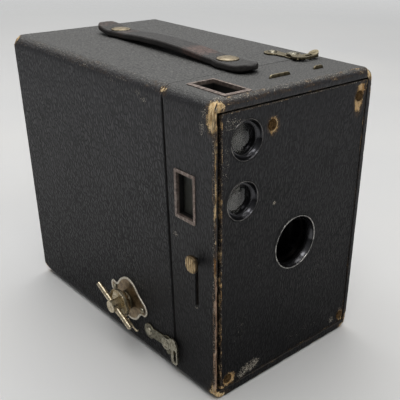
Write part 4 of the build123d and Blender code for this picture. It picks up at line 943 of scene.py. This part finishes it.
# ------------------------------------------------------------------ leather strap
def strap():
    sf, sr = (-6.0, 36.0), (-3.8, 117.0)
    ang = math.atan2(sr[0] - sf[0], sr[1] - sf[1])
    ys, zs_ = [-17, -9, 0, 10, 22, 40, 58, 70, 81, 87, 92, 98], [1.0, 0.45, 0.4, 0.8, 1.6, 2.2, 1.7, 0.9, 0.4, 0.75, 1.7, 3.2]
    yy = np.concatenate([-15.48 + 2.6 * np.linspace(0, 1, 22) ** 1.8, np.linspace(-12.6, 93.6, 236), 96.58 - 2.7 * np.linspace(1, 0, 22) ** 1.8])

    def half(y):
        w = []
        for v in y:
            c = [0.0]
            if abs(v + 9.2) < 6.3: c.append(math.sqrt(6.3 ** 2 - (v + 9.2) ** 2))
            if abs(v) < 6.6: c.append(math.sqrt(6.6 ** 2 - v * v))
            if -9.2 <= v <= 0: c.append(6.35)
            if -3 <= v <= 81: c.append(5.5)
            if abs(v - 82) < 6.3: c.append(math.sqrt(6.3 ** 2 - (v - 82) ** 2))
            if abs(v - 90.4) < 6.2: c.append(math.sqrt(6.2 ** 2 - (v - 90.4) ** 2))
            if 82 <= v <= 90.4: c.append(6.25)
            w.append(max(c))
        return np.array(w)

    w = half(yy)
    ws = w.copy()
    core = (yy > -12) & (yy < 92)
    for _ in range(14):
        sm = ws.copy(); sm[1:-1] = (ws[:-2] + 2 * ws[1:-1] + ws[2:]) / 4
        ws = np.where(core, sm, w)
    base = np.interp(yy, ys, zs_)
    for _ in range(60):
        base[1:-1] = (base[:-2] + 2 * base[1:-1] + base[2:]) / 4
    T = 2.7
    # section: rounded flat strip, walked round; c = across -1..1, h = height 0..1
    sec = []
    e = 0.17
    for u in np.linspace(-1 + e, 1 - e, 25): sec.append((u, 1.0, 0))
    for a in (75, 55, 35, 15): sec.append((1 - e + e * math.cos(math.radians(a)), 0.5 + 0.5 * math.sin(math.radians(a)), 1))
    sec.append((1 - e + e * 0.80, 0.47, 1))
    for a in (-15, -35, -55, -75): sec.append((1 - e + e * math.cos(math.radians(a)), 0.5 + 0.5 * math.sin(math.radians(a)), 1))
    for u in np.linspace(1 - e, -1 + e, 15): sec.append((u, 0.0, 0))
    for a in (-75, -55, -35, -15): sec.append((-(1 - e + e * math.cos(math.radians(a))), 0.5 + 0.5 * math.sin(math.radians(a)), 1))
    sec.append((-(1 - e + e * 0.80), 0.47, 1))
    for a in (15, 35, 55, 75): sec.append((-(1 - e + e * math.cos(math.radians(a))), 0.5 + 0.5 * math.sin(math.radians(a)), 1))
    sec = np.array(sec)
    m = len(sec)
    rows = []
    for k, y in enumerate(yy):
        hw = max(ws[k], 0.25)
        c, h = sec[:, 0] * hw, sec[:, 1]
        tip = min(y + 15.5, 96.6 - y)
        if tip < 2.4:
            h = 0.42 + (h - 0.42) * max(0.08, math.sqrt(max(0.0, 1 - (1 - tip / 2.4) ** 2)))
        crown = 0.10 * (1 - sec[:, 0] ** 2) * (sec[:, 1] > 0.9)
        zz = base[k] + h * T + crown
        groove = 0.14 * np.exp(-((np.abs(c) - (hw - 1.35)) / 0.28) ** 2) * (h > 0.97) * (1 if -12 < y < 93 else 0)
        rows.append(np.stack([c, np.full(m, y), zz - groove], 1))
    P = np.concatenate(rows)
    top = np.tile(sec[:, 1] > 0.9, len(yy))
    q = P + np.array((100.0, 300.0, 50.0))
    wob = (fnoise(q, (4, 9, 4), 61, 3) - 0.5) * 0.22
    P[:, 2] += np.where(top, wob, wob * 0.4)
    P[:, 0] += (fnoise(q, (30, 8, 30), 63, 2) - 0.5) * 0.35
    # creases across the bend
    crease = np.exp(-((P[:, 1] - 11.5) / 4.0) ** 2) + np.exp(-((P[:, 1] - 69.5) / 4.0) ** 2)
    P[:, 2] -= np.where(top, 0.12 * crease * (0.5 + 0.5 * np.sin(P[:, 1] * 3.1 + 2.0 * fnoise(q, 3.0, 64, 2))), 0)
    # beds of the two studs
    for cy in (0.0, 81.03):
        rr = np.hypot(P[:, 0], P[:, 1] - cy)
        bed = H + 0.40 + T - H + 0.03
        P[:, 2] = np.where(top & (rr < 5.0), np.minimum(P[:, 2], bed - 0.02), P[:, 2])
        P[:, 2] += np.where(top, 0.16 * np.exp(-((rr - 5.5) / 0.5) ** 2), 0)
    # front tip curls up a little
    P[:, 2] += 0.45 * step(P[:, 1], -7, -15.4) ** 2
    P[:, 2] = np.maximum(P[:, 2], 0.12)
    red = np.clip(1.0 - np.abs(P[:, 1] - 17.5) / 12.0, 0, 1) + 0.55 * np.clip(1 - np.abs(P[:, 1] - 73) / 7.0, 0, 1) + 0.48 * step(P[:, 1], 84, 92)
    edge = np.tile(sec[:, 2], len(yy))
    ca, sa = math.cos(ang), math.sin(ang)
    X = sf[0] + P[:, 0] * ca + P[:, 1] * sa
    D = sf[1] - P[:, 0] * sa + P[:, 1] * ca
    V = np.stack([X, D, H + P[:, 2]], 1)
    F = grid_faces(len(yy), m, True)
    F = [list(f) for f in F]
    F.append(list(range(m))[::-1])
    F.append(list(range((len(yy) - 1) * m, len(yy) * m)))
    V2 = V.copy(); V2[:, 1] += Y0
    me = bpy.data.meshes.new("strap_leather")
    me.from_pydata((V2 * MM).tolist(), [], [[int(i) for i in f] for f in F])
    for k, v in (("red", red), ("edge", edge)):
        a = me.attributes.new(k, "FLOAT", "POINT")
        a.data.foreach_set("value", np.asarray(v, np.float32))
    bm = bmesh.new(); bm.from_mesh(me)
    bmesh.ops.recalc_face_normals(bm, faces=bm.faces)
    bm.to_mesh(me); bm.free()
    me.shade_smooth()
    me.materials.append(M_STRAP)
    ob = bpy.data.objects.new("strap_leather", me)
    scene.collection.objects.link(ob)
    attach(ob, "casing")
    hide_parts("handle_strap")
    return ob


# ------------------------------------------------------------------ pressed plate under the key
def escutcheon():
    pts = np.array([(47.1, 22.3), (48.3, 25.2), (52.9, 28.8), (57.3, 33.4), (63.0, 34.7), (68.4, 31.6), (71.6, 27.9), (75.4, 28.0),
                    (76.6, 25.1), (75.4, 22.2), (71.9, 21.0), (68.6, 15.9), (62.1, 12.3), (56.3, 13.9), (52.3, 18.4), (48.7, 19.2)])
    n, m = len(pts), 144
    t = np.linspace(0, n, m, endpoint=False)
    i = np.floor(t).astype(int)
    f = (t - i)[:, None]
    p0, p1, p2, p3 = pts[(i - 1) % n], pts[i % n], pts[(i + 1) % n], pts[(i + 2) % n]
    line = 0.5 * (2 * p1 + (p2 - p0) * f + (2 * p0 - 5 * p1 + 4 * p2 - p3) * f ** 2 + (3 * p1 - p0 - 3 * p2 + p3) * f ** 3)
    tan = np.roll(line, -1, 0) - np.roll(line, 1, 0)
    nrm = np.stack([tan[:, 1], -tan[:, 0]], 1)
    nrm /= np.linalg.norm(nrm, axis=1)[:, None]
    c = np.array((63.0, 22.2))
    if ((line - c) * nrm).sum(1).mean() > 0:
        nrm = -nrm                                   # points inwards now
    hole = c + (line - c) / np.linalg.norm(line - c, axis=1)[:, None] * 4.25
    rows = [(0.0, 0.0), (0.0, 0.45), (0.12, 0.62), (0.34, 0.72), (0.62, 0.72), (0.90, 0.66), (1.2, 0.50), (1.5, 0.40)]
    R = []
    for ins, h in rows:
        R.append(np.concatenate([line + nrm * ins, np.full((m, 1), h)], 1))
    inner = line + nrm * 1.5
    for q in (0.12, 0.25, 0.4, 0.55, 0.7, 0.82, 0.92, 1.0):
        h = 0.40 + 0.30 * math.sin(q * math.pi / 2) ** 2
        R.append(np.concatenate([inner + (hole - inner) * q, np.full((m, 1), h)], 1))
    R.append(np.concatenate([hole, np.full((m, 1), 0.0)], 1))
    A = np.concatenate(R)
    P = np.stack([-HX - A[:, 2], A[:, 0], A[:, 1]], 1)
    F = grid_faces(len(R), m, True)
    # close the back between the outline and the bore
    F = np.concatenate([F, np.stack([np.arange(m), (np.arange(m) + 1) % m, (np.arange(m) + 1) % m + (len(R) - 1) * m, np.arange(m) + (len(R) - 1) * m], 1)[:, ::-1]])
    rim = np.concatenate([np.full(m, v) for v in [1, 1, 1, 1, 1, 0.8, 0.4, 0.1] + [0] * 9])
    s = Mat("escutcheon_metal")
    a = s.noise(2.6, 4, 0.65, seed=2.0)
    b = s.noise(0.8, 3, 0.6, seed=5.0)
    col = s.ramp(a, [(0.3, (0.095, 0.062, 0.035)), (0.5, (0.26, 0.19, 0.115)), (0.72, (0.46, 0.37, 0.24))])
    col = s.mix(s.smooth(s.attr("rim"), 0.3, 0.9), col, s.ramp(b, [(0.3, (0.42, 0.38, 0.31)), (0.6, (0.78, 0.73, 0.62))]))
    # painted shade: darker where ambient occlusion is high
    occ = s.smooth(s.ao(1.0), 0.3, 0.95)
    col = s.mix(s.mul(s.sub(1.0, occ), 0.75), col, (0.03, 0.02, 0.012))
    mat = s.pbr(col, s.add(s.mul(a, 0.3), 0.22), 0.95, s.bump(s.add(a, b), 0.06))
    return make("key_escutcheon_pressed", P, F, {"rim": rim}, mat, "casing", ("key_escutcheon",), 0.0)


def lens_flange():
    """Spun metal ring round the lens opening: thin worn rim, then a glossy black throat that narrows inwards."""
    prof = [(12.36, 0.34, 0), (12.38, 0.16, 1), (12.32, 0.06, 1), (12.20, 0.01, 1), (12.02, 0.0, 1), (11.88, 0.05, 1), (11.80, 0.16, 0.6),
            (11.74, 0.34, 0), (11.66, 0.60, 0), (11.52, 0.95, 0), (11.34, 1.35, 0), (11.14, 1.80, 0), (10.94, 2.30, 0), (10.78, 2.80, 0),
            (10.68, 3.25, 0), (10.66, 3.56, 0), (10.90, 3.60, 0), (11.90, 3.60, 0), (12.02, 3.40, 0), (12.02, 0.50, 0), (12.04, 0.34, 0)]
    m = 160
    t = np.linspace(0, 2 * math.pi, m, endpoint=False)
    wob = (fnoise(np.stack([np.cos(t) * 12 + 40, np.zeros(m), np.sin(t) * 12 + 40], 1), 5.0, 91, 2) - 0.5) * 0.05
    P = np.concatenate([np.stack([LENS[0] + (r + wob) * np.cos(t), np.full(m, d), LENS[1] + (r + wob) * np.sin(t)], 1) for r, d, _ in prof])
    rim = np.repeat([k for _, _, k in prof], m)
    n = len(prof)
    F = grid_faces(n, m, True)
    F = np.concatenate([F, np.stack([np.arange(m) + (n - 1) * m, (np.arange(m) + 1) % m + (n - 1) * m, (np.arange(m) + 1) % m, np.arange(m)], 1)])
    s = Mat("lens_flange_metal")
    a = s.noise(1.5, 4, 0.65, seed=12.0)
    b = s.noise(0.45, 3, 0.6, seed=13.0)
    worn = s.ramp(a, [(0.35, (0.085, 0.082, 0.078)), (0.5, (0.24, 0.235, 0.225)), (0.7, (0.50, 0.49, 0.46))])
    black = s.mix(s.smooth(a, 0.45, 0.75), (0.080, 0.080, 0.085), (0.040, 0.040, 0.043))
    black = s.mix(s.mul(s.smooth(b, 0.66, 0.76), 0.6), black, (0.17, 0.165, 0.155))
    col = s.mix(s.smooth(s.add(s.attr("rim"), s.mul(s.sub(b, 0.5), 0.5)), 0.35, 0.65), black, worn)
    mat = s.pbr(col, s.add(s.mul(b, 0.12), 0.13), 0.92, s.bump(s.add(a, b), 0.012))
    return make("lens_flange", P, F, {"rim": rim}, mat, "front_section", ("lens_flange_ring",), 0.0)


def finder_bezels():
    """Pressed dish round each finder lens: thin rolled rim, concave slope, small lip round the glass."""
    prof = [(8.16, 0.60, 0), (8.14, 0.34, 1), (8.05, 0.20, 1), (7.92, 0.15, 1), (7.80, 0.18, 0.8), (7.70, 0.30, 0), (7.58, 0.55, 0), (7.42, 0.95, 0),
            (7.22, 1.38, 0), (6.98, 1.78, 0), (6.74, 2.08, 0), (6.54, 2.22, 0), (6.38, 2.22, 0.35), (6.22, 2.14, 0.6), (6.10, 2.16, 0.5), (6.01, 2.28, 0.1),
            (5.97, 2.55, 0), (5.95, 3.2, 0), (5.95, 4.28, 0), (5.2, 4.32, 0), (5.2, 4.4, 0), (8.16, 4.4, 0)]
    m, n = 128, len(prof)
    t = np.linspace(0, 2 * math.pi, m, endpoint=False)
    PP, FF = [], []
    for k, c in enumerate(FINDERS):
        PP.append(np.concatenate([np.stack([c[0] + r * np.cos(t), np.full(m, d), c[1] + r * np.sin(t)], 1) for r, d, _ in prof]))
        F = grid_faces(n, m, True)
        F = np.concatenate([F, np.stack([np.arange(m) + (n - 1) * m, (np.arange(m) + 1) % m + (n - 1) * m, (np.arange(m) + 1) % m, np.arange(m)], 1)])
        FF.append(F + k * n * m)
    rim = np.tile(np.repeat([k for _, _, k in prof], m), 2)
    s = Mat("finder_bezel_lacquer")
    a = s.noise(1.7, 4, 0.65, seed=31.0)
    b = s.noise(0.4, 3, 0.6, seed=32.0)
    black = s.mix(s.smooth(a, 0.45, 0.75), (0.060, 0.060, 0.065), (0.030, 0.030, 0.033))
    black = s.mix(s.mul(s.smooth(b, 0.64, 0.74), 0.6), black, (0.20, 0.185, 0.165))
    worn = s.ramp(a, [(0.35, (0.050, 0.048, 0.047)), (0.52, (0.135, 0.130, 0.125)), (0.72, (0.34, 0.33, 0.31))])
    col = s.mix(s.smooth(s.add(s.attr("rim"), s.mul(s.sub(b, 0.5), 0.6)), 0.45, 0.85), black, worn)
    mat = s.pbr(col, s.add(s.mul(b, 0.14), 0.13), 0.92, s.bump(s.add(a, b), 0.014))
    return make("finder_bezel_dishes", np.concatenate(PP), np.concatenate(FF), {"rim": rim}, mat, "front_section", ("finder_bezels",), 0.0)


def finger_pad():
    """Small oval pad with pressed ridges, crowned on top, carried by the lever tip."""
    cd, cz, rd, rz = 9.5, 65.8, 3.15, 3.75
    m = 120
    t = np.linspace(0, 2 * math.pi, m, endpoint=False)
    ex = 2.6
    ud = np.sign(np.cos(t)) * np.abs(np.cos(t)) ** (2 / ex)
    uz = np.sign(np.sin(t)) * np.abs(np.sin(t)) ** (2 / ex)
    rows = [(0.0, 0.30, 0)]
    for q, hgt in ((0.5, 0.30), (0.9, 0.30)): rows.append((q, hgt, 0))
    for a in (0, 25, 50, 75, 90):
        rows.append((0.93 + 0.07 * math.sin(math.radians(a)), 0.30 + 0.5 * (1 - math.cos(math.radians(a))), 0))
    for hgt in (1.05, 1.3, 1.5): rows.append((1.0, hgt, 0))
    for a in (25, 50, 75, 90):
        rows.append((1.0 - 0.14 * (1 - math.cos(math.radians(a))), 1.5 + 0.42 * math.sin(math.radians(a)), 1))
    for q in np.linspace(0.83, 0.0, 15): rows.append((q, 1.92, 1))
    P, k = [], []
    for q, hgt, top in rows:
        d, z = cd + rd * ud * q, cz + rz * uz * q
        h = np.full(m, hgt)
        if top:
            w = 1 - (((d - cd) / rd) ** 2 + ((z - cz) / rz) ** 2)
            ridge = 0.5 + 0.5 * np.cos((d - cd) / 1.28 * 2 * math.pi)
            h = h + 0.14 * np.clip(w, 0, 1) + 0.62 * (ridge - 0.7) * np.clip(w * 3.0, 0, 1)
        P.append(np.stack([-46.5 - h * 1.02, d, z], 1))
        k.append(h)
    P, k = np.concatenate(P), np.concatenate(k)
    F = grid_faces(len(rows), m, True)
    s = Mat("finger_pad_metal")
    a = s.noise(1.6, 4, 0.65, seed=3.0)
    b = s.noise(0.5, 3, 0.6, seed=7.0)
    base = s.ramp(a, [(0.3, (0.36, 0.25, 0.13)), (0.55, (0.66, 0.50, 0.29)), (0.8, (0.86, 0.72, 0.50))])
    # painted shade: the sides and the valleys between the ridges are darkened, while the ridge tops keep the brass
    # colour
    low = s.smooth(s.attr("rise"), 1.72, 2.16)
    col = s.mix(low, s.mix(0.85, base, (0.05, 0.032, 0.018)), base)
    col = s.mix(s.mul(s.smooth(b, 0.6, 0.75), 0.7), col, (0.05, 0.032, 0.022))
    mat = s.pbr(col, s.add(s.mul(b, 0.25), 0.20), 0.92, s.bump(s.add(a, b), 0.04))
    return make("finger_pad", P, F, {"rise": k}, mat, "lever", ("shutter_knob",), 0.0)


casing_cover()
front_cover()
panel_cover()
strap()
escutcheon()
finger_pad()
lens_flange()
finder_bezels()


# ------------------------------------------------------------------ stage, light, camera
def stage_floor():
    bm = bmesh.new()
    bmesh.ops.create_grid(bm, x_segments=24, y_segments=24, size=3.0)
    me = bpy.data.meshes.new("stage_floor")
    bm.to_mesh(me); bm.free()
    s = Mat("stage_paper")
    a = s.noise(220.0, 3, 0.5)
    c = s.mix(s.smooth(a, 0.3, 0.7), (0.655, 0.66, 0.665), (0.685, 0.685, 0.68))
    mat = s.pbr(c, 0.8, 0.0, s.bump(s.noise(1.0), 0.01))
    # the paper dissolves into the pale backdrop further out
    clear = s.t.nodes.new("ShaderNodeBsdfTransparent")
    mixn = s.t.nodes.new("ShaderNodeMixShader")
    ln = s.t.nodes.new("ShaderNodeVectorMath")
    ln.operation = "LENGTH"
    s.put(ln.inputs[0], s.co)
    s.put(mixn.inputs[0], s.smooth(ln.outputs["Value"], 0.48, 1.45))
    s.t.links.new(s.bsdf.outputs[0], mixn.inputs[1])
    s.t.links.new(clear.outputs[0], mixn.inputs[2])
    s.t.links.new(mixn.outputs[0], s.out.inputs["Surface"])
    me.materials.append(mat)
    ob = bpy.data.objects.new("stage_floor", me)
    ob.location = (0, 0, -0.0003)
    scene.collection.objects.link(ob)


stage_floor()

world = bpy.data.worlds.new("studio")
scene.world = world
world.use_nodes = True
wt = world.node_tree
bg = wt.nodes["Background"] if "Background" in wt.nodes else wt.nodes.new("ShaderNodeBackground")
tc = wt.nodes.new("ShaderNodeTexCoord")
sep = wt.nodes.new("ShaderNodeSeparateXYZ")
wt.links.new(tc.outputs["Generated"], sep.inputs[0])
rampn = wt.nodes.new("ShaderNodeValToRGB")
cr = rampn.color_ramp.elements
while len(cr) < 4:
    cr.new(0.5)
for e, (at_z, tone) in zip(cr, ((0.0, (0.10, 0.105, 0.11)), (0.12, (0.15, 0.155, 0.16)), (0.45, (0.34, 0.345, 0.35)), (0.9, (0.72, 0.72, 0.71)))):
    e.position = at_z
    e.color = tone + (1,)
wt.links.new(sep.outputs[2], rampn.inputs[0])
wt.links.new(rampn.outputs[0], bg.inputs["Color"])
bg.inputs["Strength"].default_value = 0.62
bg2 = wt.nodes.new("ShaderNodeBackground")
bg2.inputs["Color"].default_value = (0.63, 0.635, 0.635, 1)
lp = wt.nodes.new("ShaderNodeLightPath")
mx = wt.nodes.new("ShaderNodeMixShader")
wout = [n for n in wt.nodes if n.type == "OUTPUT_WORLD"][0]
wt.links.new(lp.outputs["Is Camera Ray"], mx.inputs[0])
wt.links.new(bg.outputs[0], mx.inputs[1])
wt.links.new(bg2.outputs[0], mx.inputs[2])
wt.links.new(mx.outputs[0], wout.inputs["Surface"])


def area(name, loc, target, size, watts, colour=(1, 1, 1)):
    l = bpy.data.lights.new(name, "AREA")
    l.shape = "RECTANGLE"
    l.size, l.size_y = size
    l.energy = watts
    l.color = colour
    o = bpy.data.objects.new(name, l)
    o.location = loc
    o.rotation_euler = (Vector(target) - Vector(loc)).to_track_quat("-Z", "Y").to_euler()
    scene.collection.objects.link(o)
    return o


area("key_top", (0.10, 0.26, 1.08), (0, 0, 0.06), (1.1, 1.0), 8.6, (1.0, 0.985, 0.965))
area("back_high", (0.45, 0.95, 0.62), (0, 0, 0.10), (1.2, 0.5), 1.2)
area("catch_left", (-0.42, -0.39, 1.05), (0, -0.05, 0.06), (0.30, 0.30), 1.7)
area("front_floor", (-0.10, -0.75, 0.95), (-0.06, -0.42, 0.0), (0.7, 0.3), 2.2, (1.0, 0.985, 0.965))

cam = bpy.data.cameras.new("camera")
co = bpy.data.objects.new("camera", cam)
scene.collection.objects.link(co)
right = Vector((0.7315326, -0.6814724, 0.0213411)).normalized()
fwd = Vector((0.6084290, 0.6383580, -0.4715012)).normalized()
fwd = (fwd - right * fwd.dot(right)).normalized()
upv = right.cross(fwd)
CAM_AT = Vector((-0.183716, -0.239053, 0.191753))
co.matrix_world = Matrix.Translation(CAM_AT) @ Matrix((right, upv, -fwd)).transposed().to_4x4()
cam.sensor_width = 36.0
cam.lens = 58.212
cam.clip_start, cam.clip_end = 0.01, 20.0
cam.shift_x, cam.shift_y = -0.11455, 0.11490
# the frame offset belongs to this one place only: it fades once the camera is moved elsewhere
spot = bpy.data.objects.new("camera_place", None)
spot.location = CAM_AT
scene.collection.objects.link(spot)
for path, value in (("shift_x", -0.11455), ("shift_y", 0.11490)):
    fc = cam.driver_add(path)
    fc.driver.type = "AVERAGE"
    v = fc.driver.variables.new()
    v.type = "LOC_DIFF"
    v.targets[0].id, v.targets[1].id = co, spot
    for md in list(fc.modifiers):
        fc.modifiers.remove(md)
    fc.keyframe_points.add(2)
    fc.keyframe_points[0].co = (0.0, value)
    fc.keyframe_points[1].co = (0.004, 0.0)
    for k in fc.keyframe_points:
        k.interpolation = "LINEAR"
scene.camera = co
scene.view_settings.view_transform = "Standard"
scene.view_settings.look = "None"
scene.view_settings.exposure = 0.0

bpy.context.view_layer.update()
